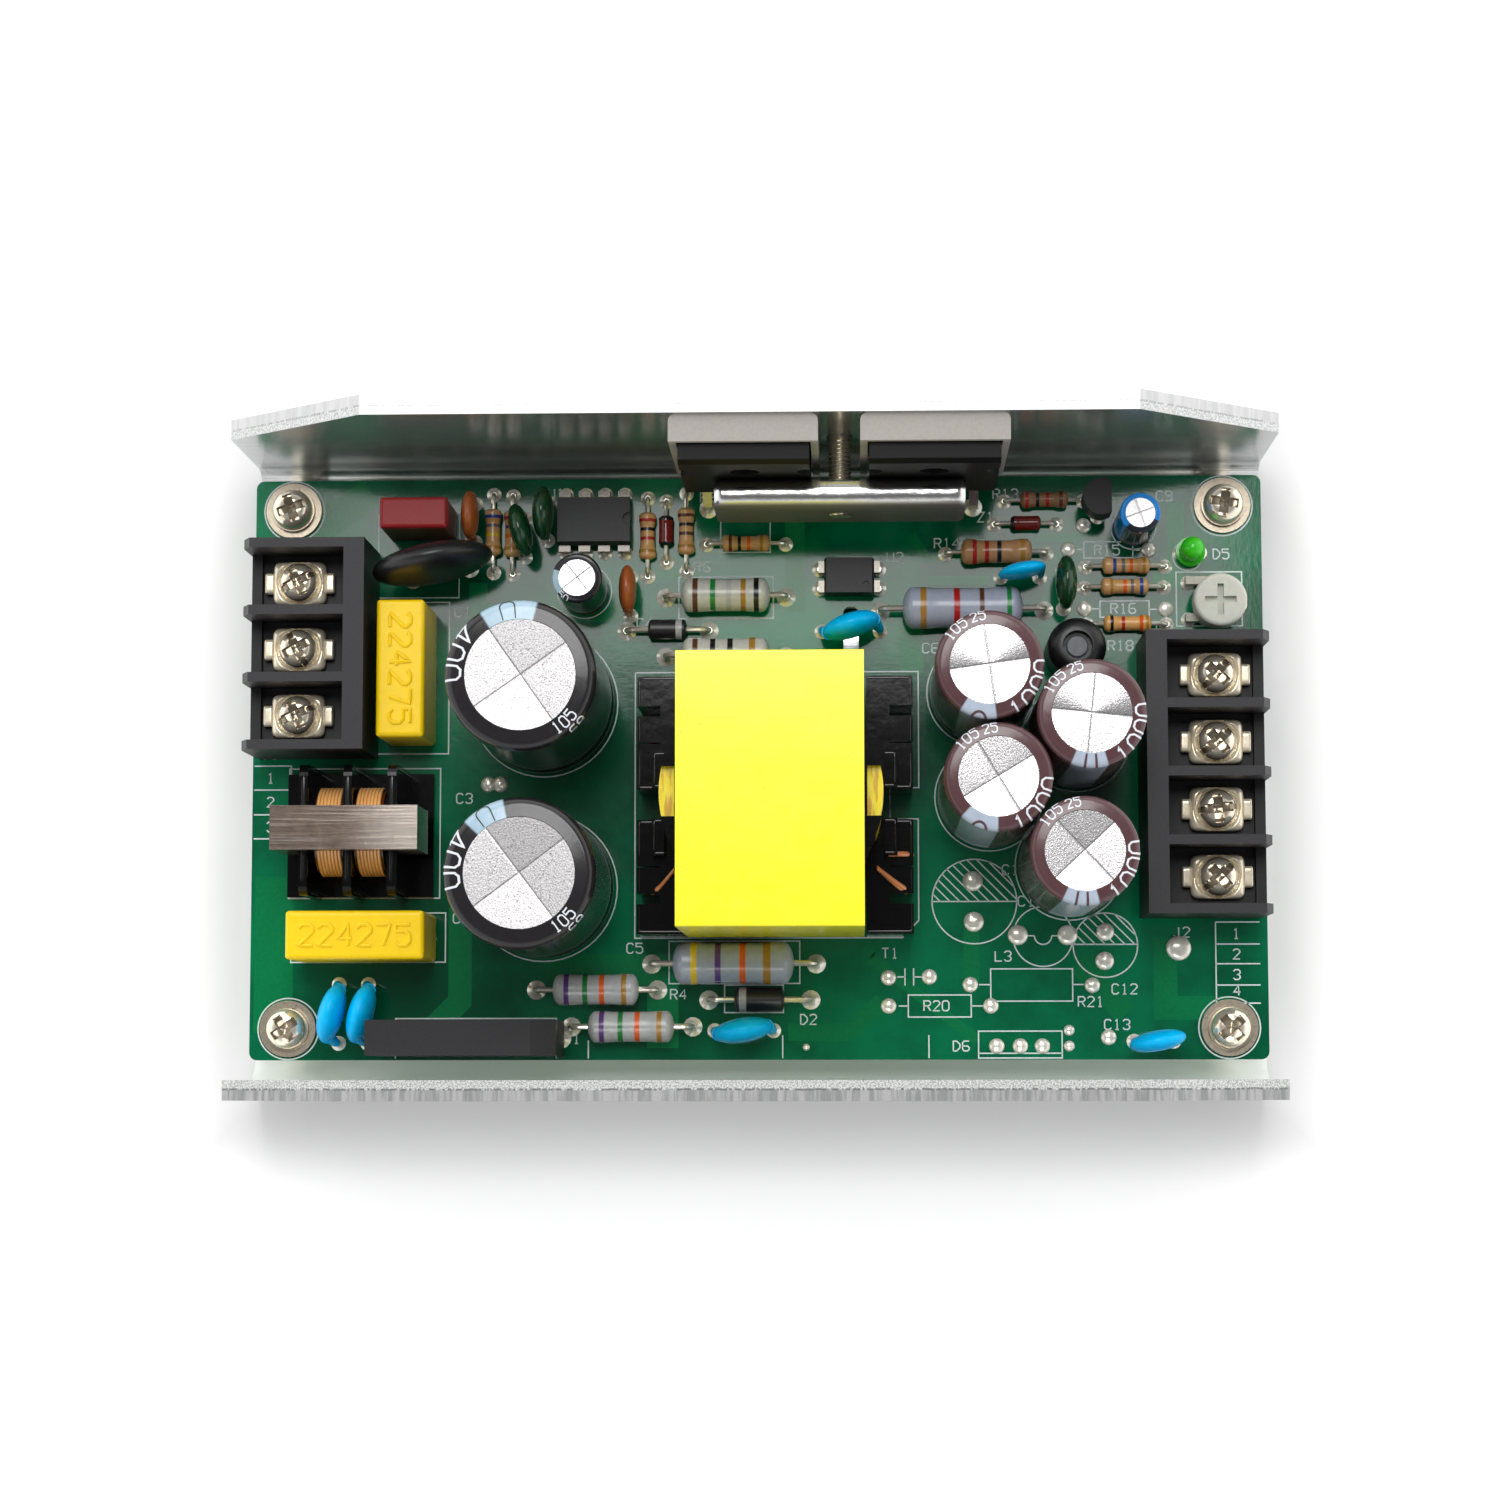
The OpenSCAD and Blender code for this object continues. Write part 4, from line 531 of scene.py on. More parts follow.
def slanted(start, over):  # a winding end: cubic curve led slanting over the rail and down into it
    t = np.linspace(0, 1, 24)[:, None]
    start, over = np.array(start), np.array(over)
    out, deep = wireEnd["dive"]
    down = over + (np.sign(over[0]) * out, 0, deep)
    first, second = start * 0.4 + over * 0.6, over + (0, 0, wireEnd["arch"])
    path = start * (1 - t) ** 3 + 3 * first * t * (1 - t) ** 2 + 3 * second * t ** 2 * (1 - t) + down * t ** 3
    return onBoard(tube(path, (0, 1, 0), wireEnd["radius"], 8, tone(*wireEnd["color"])), transformer)


piece("transformer_wire_ends", [slanted(*run) for run in wireEnd["runs"]], copper)

print("stage: sleeved capacitors")

glyphs = {
    "0": "01 05 16 36 45 41 30 10 01", "1": "15 26 20|10 30", "2": "05 16 36 45 44 00 40",
    "3": "05 16 36 45 44 33 42 41 30 10 01|23 33", "4": "30 36 02 42", "5": "46 06 04 34 43 41 30 10 01",
    "6": "46 16 05 01 10 30 41 42 33 03", "7": "06 46 20",
    "8": "13 04 05 16 36 45 44 33 13 02 01 10 30 41 42 33", "9": "00 30 41 45 36 16 05 04 13 43",
    "R": "00 06 36 45 44 33 03|23 40", "C": "45 36 16 05 01 10 30 41", "D": "00 06 26 44 42 20 00",
    "T": "06 46|26 20", "L": "06 00 40", "U": "06 01 10 30 41 46", "J": "36 31 20 10 01", "Z": "06 46 00 40",
    "-": "13 33",
}


def strokesOf(text, size):  # polylines of a line of letters; a letter is 4 by 6 of its own units
    unit = size / 6
    return [np.array([(int(c[0]) + 5.6 * i, int(c[1])) for c in run.split()], float) * unit
            for i, letter in enumerate(text) for run in glyphs[letter].split("|")]


canLip, canMouth = 0.133, 0.367  # width of a sleeve's turned-in lip and radius of its mouth, of the diameter
inkLift = 0.03


def canProfile(d, h):  # sleeve from foot to a flat shoulder and its cut edge, with a crimp groove
    roll, lip = 0.05 * d, canLip * d
    a = np.linspace(-np.pi / 2, 0, 7)
    foot = np.c_[d / 2 - roll + roll * np.cos(a), roll + roll * np.sin(a)]
    z = np.linspace(2 * roll, h - 2 * roll, 30)
    wall = np.c_[d / 2 - 0.55 * roll * np.exp(-((z - 0.22 * d) / (0.05 * d)) ** 2), z]
    a = np.linspace(0, np.pi / 2, 12)
    rim = np.c_[d / 2 - 1.25 * roll * (1 - np.cos(a)), h - 0.14 - 1.25 * roll * (1 - np.sin(a))]
    inner = [(d / 2 - lip + 0.06, h), (d / 2 - lip, h - 0.04), (d / 2 - lip - 0.02, h - 0.7)]
    return np.r_[[(0, 0)], foot, wall, rim, inner, [(0, h - 0.7)]]


def sleeve(can):  # the turned profile, painted with a stripe between two angles
    line, stripe = canProfile(can["d"], can["h"]), can["stripe"]
    a = np.degrees(np.arange(180) * tau / 180)[None, :]
    on = ((a - stripe["start"]) % 360 < stripe["width"]) & (line[:, :1] > 0.3 * can["d"])
    color = np.where(on[..., None], tone(*stripe["color"]), tone(*can["ground"]))
    return onBoard(moved(turned(line, 180, color), 0, 0, standing), can["place"])


def pressedNet(s, inner=0.7):  # a square net, straight inside, pressed into the unit disc at its border
    u, v = np.meshgrid(s, s, indexing="ij")
    w = eased(np.clip((np.maximum(abs(u), abs(v)) - inner) / (1 - inner), 0, 1))
    return [p * ((1 - w) * 0.88 + w * np.sqrt(1 - q ** 2 / 2)) for p, q in ((u, v), (v, u))]


def canTop(can):
    # four quarters tilted towards the middle; beside one score line they fall with the angle from it, squared
    pit, slope = can["fall"]
    s = np.linspace(-1, 1, 71)
    x, y = [q * (canMouth * can["d"] - 0.02) for q in pressedNet(np.sign(s) * abs(s) ** 1.6)]
    off = np.arctan2(np.minimum(abs(x), abs(y)), np.maximum(np.maximum(abs(x), abs(y)), 1e-9))
    beside = slope * np.pi / 8 * (1 - off * 4 / np.pi) ** 2 * (abs(x) > abs(y))
    z = np.hypot(x, y) * (pit * np.cos(np.pi / 4 - off) - beside)
    z -= z.max() + 0.03 * (np.exp(-(x / 0.09) ** 2) + np.exp(-(y / 0.09) ** 2))
    lid = surface(np.stack([x, y, can["h"] - 0.05 + z], -1)[::-1])
    return onBoard(moved(lid, 0, 0, standing, can["score"]), can["place"])


def onShoulder(paths, can, start, width, color):
    # flat strokes wrapped over a can: x runs round it, y counts down from its cut edge
    d = can["d"]
    line = canProfile(d, can["h"])
    line = line[line[:, 0] > canMouth * d][::-1]
    run = np.r_[0, np.cumsum(np.linalg.norm(np.diff(line, axis=0), axis=1))]
    parts = []
    for path in paths:
        points, faces, tint = ribbon(refined(path, 9), width, 0)
        angle = np.radians(start) + points[:, 0] / (d / 2)
        r, z = [np.interp(-points[:, 1], run, line[:, axis]) + inkLift for axis in (0, 1)]
        points = np.stack([r * np.cos(angle), r * np.sin(angle), z], -1)
        parts.append((points, faces, 0 * tint + tone(*color)))
    return parts


def hung(text, size, drop, outward):  # letters below the cut edge, their feet inwards or outwards
    return [p * (-1, -1) - (0, drop) if outward else p - (0, size + drop) for p in strokesOf(text, size)]


def canPrint(can):  # the mark in the stripe and the numbers round the shoulder
    stripe = can["stripe"]
    marks = onShoulder(stripe["mark"], can, stripe["start"] + stripe["width"] / 2, can["pen"], can["ground"])
    for text, angle, size, drop, outward in can["text"]:
        marks += onShoulder(hung(text, size, drop, outward), can, angle, 0.16 * size ** 0.6, paleInk)
    return [onBoard(moved(p, 0, 0, standing), can["place"]) for p in marks]


def canLid(light, dark, rough):  # rubbed can aluminium
    made = Finish("canAluminium", Metallic=1.0)
    rub = made.noise(6, 5)
    shine, dullAndShade = [tone(q, q - 2, q - 1) for q in (light, dark)]
    made.set(Base_Color=made.mix(shine, dullAndShade, made.step(rub, 0.46, 0.7)), Roughness=rub * 0.2 + rough)
    return made.bump(made.noise(5, 4), 0.02)


blueGrey, paleBlue, paleInk = (176, 188, 204), (164, 190, 206), (226, 230, 236)
arc, whole = np.linspace(0, np.pi, 15), np.linspace(0, tau, 21)
loop = [np.r_[[(-1, -0.05)], np.c_[-np.cos(arc), -1.5 - np.sin(arc)], [(1, -0.05)]]]
bars = [np.array([(q, -0.05), (q, -2.6)]) for q in (-0.72, 0.72)]
ring = [np.c_[0.85 * np.cos(whole), -1.9 - 0.95 * np.sin(whole)]]
bulk = dict(d=18.2, h=31.5, pitch=7.5, turn=200, ground=(34, 32, 34), lead=0.4, fall=(0.045, 0), pen=0.17,
            slot="sleeve_black", lid=canLid(200, 128, 0.26))
output = dict(d=13.1, h=30, pitch=5, turn=0, ground=(88, 60, 63), lead=0.3, fall=(0, 0.13), pen=0.32,
              slot="sleeve_brown", lid=canLid(226, 160, 0.16))
small = dict(pitch=2.5, lead=0.3, fall=(0.02, 0), pen=0.2)
cans = dict(  # text: what it says, its angle, size and drop, and whether its feet point outwards
    bulk_capacitor_1=dict(
        bulk, place=(-27.3, -15.5), score=37, stripe=dict(start=104, width=34, color=paleBlue, mark=loop),
        text=[("400", 146, 2.9, 0.4, 0), ("105", 302, 1.4, 0.3, 0), ("68", 312, 1.4, 2.1, 0)]),
    bulk_capacitor_2=dict(
        bulk, place=(-27.3, 8.2), score=35, stripe=dict(start=78, width=46, color=paleBlue, mark=loop),
        text=[("400", 138, 2.9, 0.4, 0), ("105", 302, 1.4, 0.3, 0), ("68", 312, 1.4, 2.1, 0)]),
    output_capacitor_1=dict(
        output, place=(28.8, 9.4), score=8, stripe=dict(start=238, width=40, color=blueGrey, mark=ring),
        text=[("1000", 294, 2.3, 0.4, 0), ("25", 112, 1.2, 0.5, 1), ("105", 148, 1.3, 0.4, 1)]),
    output_capacitor_2=dict(
        output, place=(40.934, 3.482), score=-6, stripe=dict(start=248, width=40, color=blueGrey, mark=bars),
        text=[("1000", 300, 2.3, 0.3, 0), ("25", 118, 1.2, 0.4, 1), ("105", 154, 1.3, 0.4, 1)]),
    output_capacitor_3=dict(
        output, place=(29.742, -4.067), score=31, stripe=dict(start=228, width=42, color=blueGrey, mark=ring),
        text=[("1000", 288, 2.3, 0.3, 0), ("25", 108, 1.2, 0.4, 1), ("105", 144, 1.3, 0.4, 1)],
        fall=(0.04, 0.02)),
    output_capacitor_4=dict(
        output, place=(39.931, -12.924), score=43,
        stripe=dict(start=246, width=40, color=blueGrey, mark=bars),
        text=[("1000", 300, 2.3, 0.3, 0), ("25", 112, 1.2, 0.4, 1), ("105", 148, 1.3, 0.4, 1)],
        fall=(0.05, 0)),
    supply_capacitor=dict(
        small, d=6.3, h=12, place=(-22.2, 22.8), turn=45, ground=(36, 36, 42), score=38,
        stripe=dict(start=160, width=60, color=paleBlue, mark=[]), text=[("50", 220, 0.9, 0.15, 0)],
        slot="sleeve_black", lid=canLid(226, 170, 0.2)),
    feedback_capacitor=dict(
        small, d=5.1, h=11, place=(48.6, 30.8), turn=90, ground=(6, 128, 208), score=20,
        stripe=dict(start=225, width=110, color=(26, 32, 44), mark=[]), text=[("-", 262, 1.0, 0.3, 0)],
        slot="sleeve_blue", lid=canLid(214, 190, 0.3)),
)
sleeveFilm = worn("sleeveFilm", None, 0.17, 0.9, 0.1, (0.6, 0.012), 0.08)
sleeveInk = worn("sleeveInk", None, 0.4, 5, 0.1, (9, 0.002))
for node, can in cans.items():
    piece(node + "_sleeve", [sleeve(can)], sleeveFilm, [node])
    piece(node + "_top", [canTop(can)], can["lid"])
    piece(node + "_print", canPrint(can), sleeveInk)
    footed((*can["place"], can["turn"]), pair(can["pitch"]), can["lead"])

print("stage: lying parts")

paints = dict(black=(24, 24, 26), brown=(92, 50, 30), red=(176, 34, 28), orange=(226, 96, 30),
              yellow=(226, 190, 44), green=(30, 128, 60), blue=(40, 74, 150), violet=(96, 62, 132),
              grey=(112, 108, 108), silver=(176, 178, 178), gold=(168, 124, 48))


def bands(names, places, widths):  # painted rings: colours, places as shares of the length, widths in mm
    return list(zip(names.split(), places, np.broadcast_to(widths, len(places))))


def barrel(length, d, color, rings, waist, end=0.5, swell=0.24):
    # turned body, fuller at both ends by a smooth step, ends rounded as quarter ellipses
    t = np.linspace(-1, 1, 121)
    t = np.sign(t) * (1 - (1 - abs(t)) ** 1.25)
    gap = (1 - abs(t)) * length / 2
    rise = np.clip((gap / length - swell * 0.7) / (swell * 0.6), 0, 1)
    full = 1 - (1 - waist) * eased(rise)
    r = d / 2 * full * np.sqrt(1 - np.clip(1 - gap / (end * d / 2), 0, 1) ** 2)
    paint = np.tile(tone(*color), (len(t), 1))
    for name, place, width in rings:
        on = abs(t * length / 2 - place * length) < width * 0.42
        paint = np.where(on[:, None], tone(*paints[name]), paint)
    return lying(turned(np.c_[r, t * length / 2], 28, paint[:, None]), d / 2 + standing)


def bentLeads(inner, pitch, z, radius):  # out of both ends, round a bend and down through the board
    bend = min(1.1, (pitch / 2 - inner) * 0.9 + 0.3, z * 0.9)
    a = np.linspace(0, np.pi / 2, 9)
    arc = np.c_[pitch / 2 - bend + bend * np.sin(a), 0 * a, z - bend + bend * np.cos(a)]
    path = np.r_[[(inner - 0.4, 0, z)], arc, [(pitch / 2, 0, leadEnd)]]
    return [tube(path * (s, 1, 1), (0, 1, 0), radius, 9) for s in (1, -1)]


def wired(place, length, d, pitch, lead):  # the leads of a lying part and their feet
    wires.extend(onBoard(w, place) for w in bentLeads(length / 2, pitch, d / 2 + standing, lead))
    footed(place, pair(pitch), lead)


lacquer = worn("resistorLacquer", None, 0.24, 1.4, 0.1, (1.6, 0.012), 0.1)
tinned = worn("leadTin", (238, 232, 218), 0.2, 4, 0.14, (6, 0.004), 0.1, Metallic=0.7)
greyBody, bleedBody, paleBody = (196, 197, 190), (182, 184, 186), (210, 162, 106)
spread, spreadBack = (-0.32, -0.13, 0.06, 0.33), (0.32, 0.13, -0.06, -0.33)
bleedBands = bands("violet green orange gold", (-0.33, -0.12, 0.08, 0.33), 0.8)
stoutLead = dict(lead=0.4, waist=0.95)
resistors = dict(  # members: place, body colour, bands
    three_watt_resistors=dict(stoutLead, slot="resistor_blue", length=15.4, d=5.4, pitch=21, members=[
        ((-2.9, -25.3), (166, 174, 188), bands("yellow violet orange gold", (-0.32, -0.12, 0.08, 0.28), 1)),
        ((26.5, 20), (164, 171, 190),
         bands("gold red brown green", (-0.33, -0.05, 0.155, 0.38), (0.9, 0.9, 0.7, 0.8)))]),
    two_watt_resistors=dict(stoutLead, slot="resistor_grey", length=11.5, d=4.4, pitch=15.5, members=[
        ((-3.9, 21.9), greyBody,
         bands("brown green silver gold black", (-0.33, -0.14, 0.04, 0.2, 0.35), 0.8)),
        ((-3.9, 14.2), greyBody,
         bands("brown black black gold", (-0.33, -0.14, 0.06, 0.3), (0.8, 0.8, 0.8, 0.9)))]),
    bleed_resistors=dict(stoutLead, slot="resistor_grey", length=11, d=4, pitch=15.5, members=[
        ((-20.4, -28.6), bleedBody, bleedBands), ((-15.9, -33.3), bleedBody, bleedBands)]),
    one_watt_resistor=dict(slot="resistor_tan", length=9.2, d=3.3, pitch=13, lead=0.3, waist=0.88, members=[
        ((30.9, 27.4), (190, 142, 98), bands("red red black gold", (-0.31, -0.14, 0.04, 0.36), 0.65))]),
    small_resistors=dict(slot="resistor_tan", length=6.2, d=2.2, pitch=10.2, lead=0.3, waist=0.84, members=[
        ((-1.3, 28.8), paleBody, bands("brown black orange gold", spread, 0.5)),
        ((-14, 29.8, 90), paleBody, bands("red black red gold", spreadBack, 0.5)),
        ((-9, 30.4, 90), paleBody, bands("brown black brown gold", spreadBack, 0.5)),
        ((-34, 30.4, 90), paleBody, bands("blue grey yellow gold", spreadBack, 0.5)),
        ((-31.5, 30.2, 90), paleBody, bands("red violet orange gold", spreadBack, 0.5)),
        ((37.1, 34.2), (150, 108, 76), bands("red black red brown", (-0.36, -0.14, 0.06, 0.34), 0.5)),
        ((47.5, 25.6), paleBody,
         bands("blue grey orange gold", (-0.24, -0.06, 0.1, 0.36), (0.5, 0.5, 0.55, 0.5))),
        ((47.3, 22.9), paleBody,
         bands("blue grey orange gold", (0.34, 0.15, 0, -0.27), (0.5, 0.5, 0.55, 0.5))),
        ((47.6, 18.1), (226, 168, 96),
         bands("black red orange gold", (-0.33, -0.09, 0.28, 0.4), (0.5, 0.5, 0.6, 0.4)))]),
)
for node, kind in resistors.items():
    length, d = kind["length"], kind["d"]
    bodies = [onBoard(barrel(length, d, color, rings, kind["waist"]), place)
              for place, color, rings in kind["members"]]
    piece(node + "_bodies", bodies, lacquer, [node])
    for place, color, rings in kind["members"]:
        wired(place, length, d, kind["pitch"], kind["lead"])

# members: place, length, diameter, pitch, bands
diode = dict(slot="diode_black", color=(30, 30, 33), lead=0.4, end=0.3, waist=1, members=[
    ((0.4, -29.9, 180), 6.4, 3.1, 13, bands("silver", [0.33], 1.1)),
    ((-11.4, 17.6), 5, 2.6, 10.6, bands("silver", [0.3], 0.9))])
bead = dict(slot="diode_glass", color=(120, 28, 24), lead=0.3, end=0.5, waist=0.97, members=[
    ((-11.6, 30.5, 90), 4, 1.9, 8, bands("black black", (0.4, -0.44), (0.7, 0.5))),
    ((34.7, 31.2), 4, 1.9, 8, bands("black brown", (-0.42, 0.47), (0.6, 0.3)))])
diodeBlack = worn("diodeBlack", None, 0.36, 3, 0.2, (16, 0.005))
diodeGlass = worn("diodeGlass", None, 0.1, 2, 0.2, (2, 0.006), 0.06)
for name, kind, made in (("power_diode", diode, diodeBlack), ("glass_diode", bead, diodeGlass)):
    bodies = [onBoard(barrel(length, d, kind["color"], rings, kind["waist"], kind["end"]), place)
              for place, length, d, pitch, rings in kind["members"]]
    piece(name + "_bodies", bodies, made, [name + "s"])
    for place, length, d, pitch, rings in kind["members"]:
        wired(place, length, d, pitch, kind["lead"])

print("stage: dipped parts")

drip = 1.6  # the coat runs this far down the legs


def dipped(dip, twist):
    # lens on edge, its thickness a rounded power of the radius, twisted on legs that are coated some way down
    d, t, pitch = dip["d"], dip["t"], dip["pitch"]
    a = np.linspace(-np.pi / 2, np.pi / 2, 33)
    lens = turned(np.c_[d / 2 * np.cos(a) ** 0.9, t / 2 * np.sin(a)], 48)
    parts = [moved(upright(lens, dip["lift"] + d / 2), turn=twist)]
    fade = np.linspace(0, 1, 20)
    q, reach = np.radians(twist), min(pitch, 0.8 * d) / 2
    thick = (0.3 * t) * (1 - fade ** 1.5) + (dip["lead"] + 0.12) * fade ** 1.5
    for s in (-1, 1):
        high = np.array((s * reach * np.cos(q), s * reach * np.sin(q), dip["lift"] + d * 0.4))
        foot = np.array((s * pitch / 2, 0, max(dip["lift"] - drip, 0.5)))
        path = high + (foot - high) * np.c_[eased(fade), eased(fade), fade]
        parts.append(tube(path, (0, 1, 0), thick, 14))
    return parts


def legs(pitch, high, lead):  # two straight leads through the board
    return [tube([(s * pitch / 2, 0, z) for z in (high, 0, leadEnd)], (0, 1, 0), lead, 9) for s in (-1, 1)]


discBlue = worn("discBlue", (0, 190, 255), 0.26, 0.9, 0.08, (0.8, 0.02), 0.06, Specular_IOR_Level=0.18)
discBrown = worn("discBrown", (164, 86, 38), 0.3, 1.2, 0.15, (1.5, 0.02), 0.08)
filmGreen = worn("filmGreen", (20, 62, 34), 0.14, 0.9, 0.2, (0.8, 0.02), 0.06)
coatBlack = worn("thermistorCoat", (24, 24, 26), 0.34, 1.2, 0.2, (1.2, 0.02), 0.12)
blueDip = dict(made=discBlue, slot="disc_blue", lead=0.3)
dips = dict(  # places: x, y, turn of the legs, twist of the disc on them
    line_disc_capacitors=dict(blueDip, d=7.4, t=3.1, lift=2.5, pitch=7.5,
                              places=[(-53.5, -31.6, 90, -15), (-49.75, -31.6, 90, -16)]),
    barrier_disc_capacitor=dict(blueDip, d=7.4, t=3.1, lift=2.5, pitch=7.5, places=[(12.2, 17.4, 0, 17)]),
    snubber_disc_capacitor=dict(blueDip, d=7.6, t=3.1, lift=2, pitch=7.5, places=[(-1.6, -33.8, 0, 9)]),
    output_disc_capacitor=dict(blueDip, d=7.2, t=2.6, lift=2, pitch=5, places=[(50.4, -35.2, 0, 10)]),
    filter_disc_capacitor=dict(blueDip, d=6, t=2, lift=3.5, pitch=5, places=[(34, 24.3, 0, 10)]),
    brown_disc_capacitors=dict(made=discBrown, slot="disc_brown", d=6.2, t=2.2, lift=3.4, pitch=5, lead=0.3,
                               places=[(-36.4, 31.8, 90, 0), (-16.2, 22.1, 90, 0)]),
    inrush_thermistor=dict(made=coatBlack, slot="thermistor_coat", d=15.4, t=4.6, lift=1.4, pitch=7.5,
                           lead=0.4, places=[(-40.8, 25.2, 11, 0)]),
    green_film_capacitors=dict(made=filmGreen, slot="film_green", d=6.8, t=2.7, lift=3.4, pitch=5, lead=0.3,
                               places=[(-29.9, 29.8, 90, 14), (-27, 32, 90, 0), (39.5, 22.7, 90, 0)]),
)
for node, dip in dips.items():
    coats = [onBoard(p, place) for place in dip["places"] for p in dipped(dip, place[3])]
    piece(node + "_coat", coats, dip["made"], [node])
    for place in dip["places"]:
        wires += [onBoard(w, place) for w in legs(dip["pitch"], dip["lift"], dip["lead"])]
        footed(place, pair(dip["pitch"]), dip["lead"])

# Drum choke: sleeve shrunk in to a round mouth over a sunk ferrite drum
drum = dict(r=3.7, high=9.2, floor=7.95, place=(40.7, 14.3), pitch=5, lead=0.3, bend=1.8, mouth=1.95,
            sleeve=(17, 18, 20), ferrite=(92, 96, 102))
a = np.linspace(0, np.pi / 2, 12)
r, bend, mouth = drum["r"], drum["bend"], drum["mouth"]
foot = [(0, standing), (r - 0.3, standing), (r, standing + 0.3)]
shoulder = np.c_[r - bend + bend * np.cos(a), drum["high"] - bend + bend * np.sin(a)]
funnel = [(mouth, drum["high"] - 0.15), (mouth - 0.1, drum["floor"] + 0.05), (0, drum["floor"])]
skin = np.r_[foot, np.c_[np.full(8, r), np.linspace(0.9, 7, 8)], shoulder, funnel]
knob = [(0, 7.9), (1.4, 7.9), (1.4, 8.25), (1.25, 8.4), (0, 8.42)]
drumParts = turned(skin, 48, tone(*drum["sleeve"])), turned(knob, 32, tone(*drum["ferrite"]))
shrunk = worn("drumSleeve", None, 0.36, 1.2, 0.15, (1.2, 0.03), 0.1)
drumParts = [onBoard(p, drum["place"]) for p in drumParts]
piece("output_choke_sleeve", drumParts, shrunk, ["output_choke"])
footed(drum["place"], pair(drum["pitch"]), drum["lead"])

print("stage: screws and clamps")

clamp = dict(x=10.9, z=top + 14.8, head=44.6, end=29.9, radius=1.5, pitch=0.5, deep=0.3, thread=9.8,
             pan=(2.7, 1.6, 0.5))  # pan: the head's radius, the height of its dome and of its rim


def threaded():  # turned shank whose radius is a triangle wave along a helix, pan head on the outside
    wide, dome, edge = clamp["pan"]
    a = np.arange(33) * tau / 32
    z = np.arange(0, clamp["head"] - dome - edge - clamp["end"], 0.1)
    wave = abs(((z[:, None] / clamp["pitch"] - a[None] / tau) % 1) - 0.5) * 2
    r = clamp["radius"] - clamp["deep"] * (1 - wave) * (z[:, None] < clamp["thread"])
    grid = np.stack([r * np.cos(a), r * np.sin(a), z[:, None] + 0 * a], -1)
    grid = np.concatenate([grid[:1] * (0, 0, 1), grid, grid[-1:] * (0, 0, 1)])
    b = np.linspace(0, np.pi / 2, 10)
    head = np.c_[wide * np.cos(b) ** 0.5, z[-1] + edge + dome * np.sin(b)]
    return [surface(grid), turned(np.r_[[(0, z[-1]), (wide, z[-1])], head], 40)]


def acrossBar(part):  # its axis along y, from the screw's inner end
    points, faces, tint = part
    return points[:, [0, 2, 1]] * (1, 1, -1) + (clamp["x"], clamp["end"], clamp["z"]), faces, tint


piece("clamp_screw_threaded", [acrossBar(p) for p in threaded()], steel, ["clamp_screw"])

bar = dict(half=15.5, front=30.1, rear=34.1, low=top + 9.55, high=top + 20.05, round=1.9)


def clampBar():  # a wall with a full round top, carried along x and drawn in a little at both ends
    a = np.linspace(0, np.pi, 25)
    mid, half = (bar["front"] + bar["rear"]) / 2, (bar["rear"] - bar["front"]) / 2
    r, low, spring = bar["round"], bar["low"], bar["high"] - bar["round"]
    arch = np.c_[half - r + r * np.cos(a), spring + r * np.sin(a)]
    arch[a > np.pi / 2, 0] -= 2 * (half - r)
    walls = [np.linspace((q, low), (q, spring - 0.1), 6) for q in (half, -half)]
    ring = np.r_[walls[0], arch, walls[1][::-1], np.linspace((-half, low), (half, low), 5)[1:-1]]
    x = np.r_[-1, -1, -0.97, np.linspace(-0.94, 0.94, 40), 0.97, 1, 1] * bar["half"]
    size = np.r_[0, 0.9, 0.985, np.ones(40), 0.985, 0.9, 0]
    centre = np.array([0, (low + bar["high"]) / 2])
    net = (ring - centre)[None] * size[:, None, None] + centre
    x = np.broadcast_to(x[:, None, None] + clamp["x"], (*net.shape[:2], 1))
    return surface(np.concatenate([x, net + (mid, 0)], -1), False, True)


chrome = Finish("clampSteel")
wear = chrome.noise(3, 4)
# painted shade: the bar's front face is made dark grey, and also duller and less metallic
dullAndShade = chrome.step(0 - chrome.facing()[1], 0.45, 0.8)  # the front face
shade = chrome.mix(tone(240, 240, 240), tone(208, 208, 206), wear)
chrome.set(Base_Color=chrome.mix(shade, tone(92, 92, 90), dullAndShade), Metallic=1 - dullAndShade * 0.7,
           Roughness=wear * 0.1 + dullAndShade * 0.3 + 0.14)
chrome.bump(chrome.noise(0.5, 2) * 4 + chrome.noise(4, 3, (1, 0.4, 1)) * 0.3, 0.02)
piece("clamp_bar_rounded", [clampBar()], chrome, ["clamp_bar"])

screws = dict(  # arm: half width and reach of the cross; slot: half width; places: x, y, turn
    terminal=dict(d=4.9, h=1.9, level=top + 7.7, arm=(0.6, 1.85), deep=0.9, slot=0.36, shank=(1.45, 3.6),
                  places=[(-58, 6, 24), (-58, 14.5, -62), (-58, 23, 27), (58, -14.75, 42), (58, -6.25, 6),
                          (58, 2.25, 40), (58, 10.75, 48)]),
    board=dict(d=5.2, h=2.1, level=top + 1.4, arm=(0.58, 1.75), deep=1.1, slot=0, shank=(1.45, 8),
               places=[(-60, 33.5, 20), (60, 33.5, -8), (-60, -33.5, 35), (60, -33.5, 40)]),
)
headTone, recessShade = tone(250, 240, 220), tone(158, 146, 126)


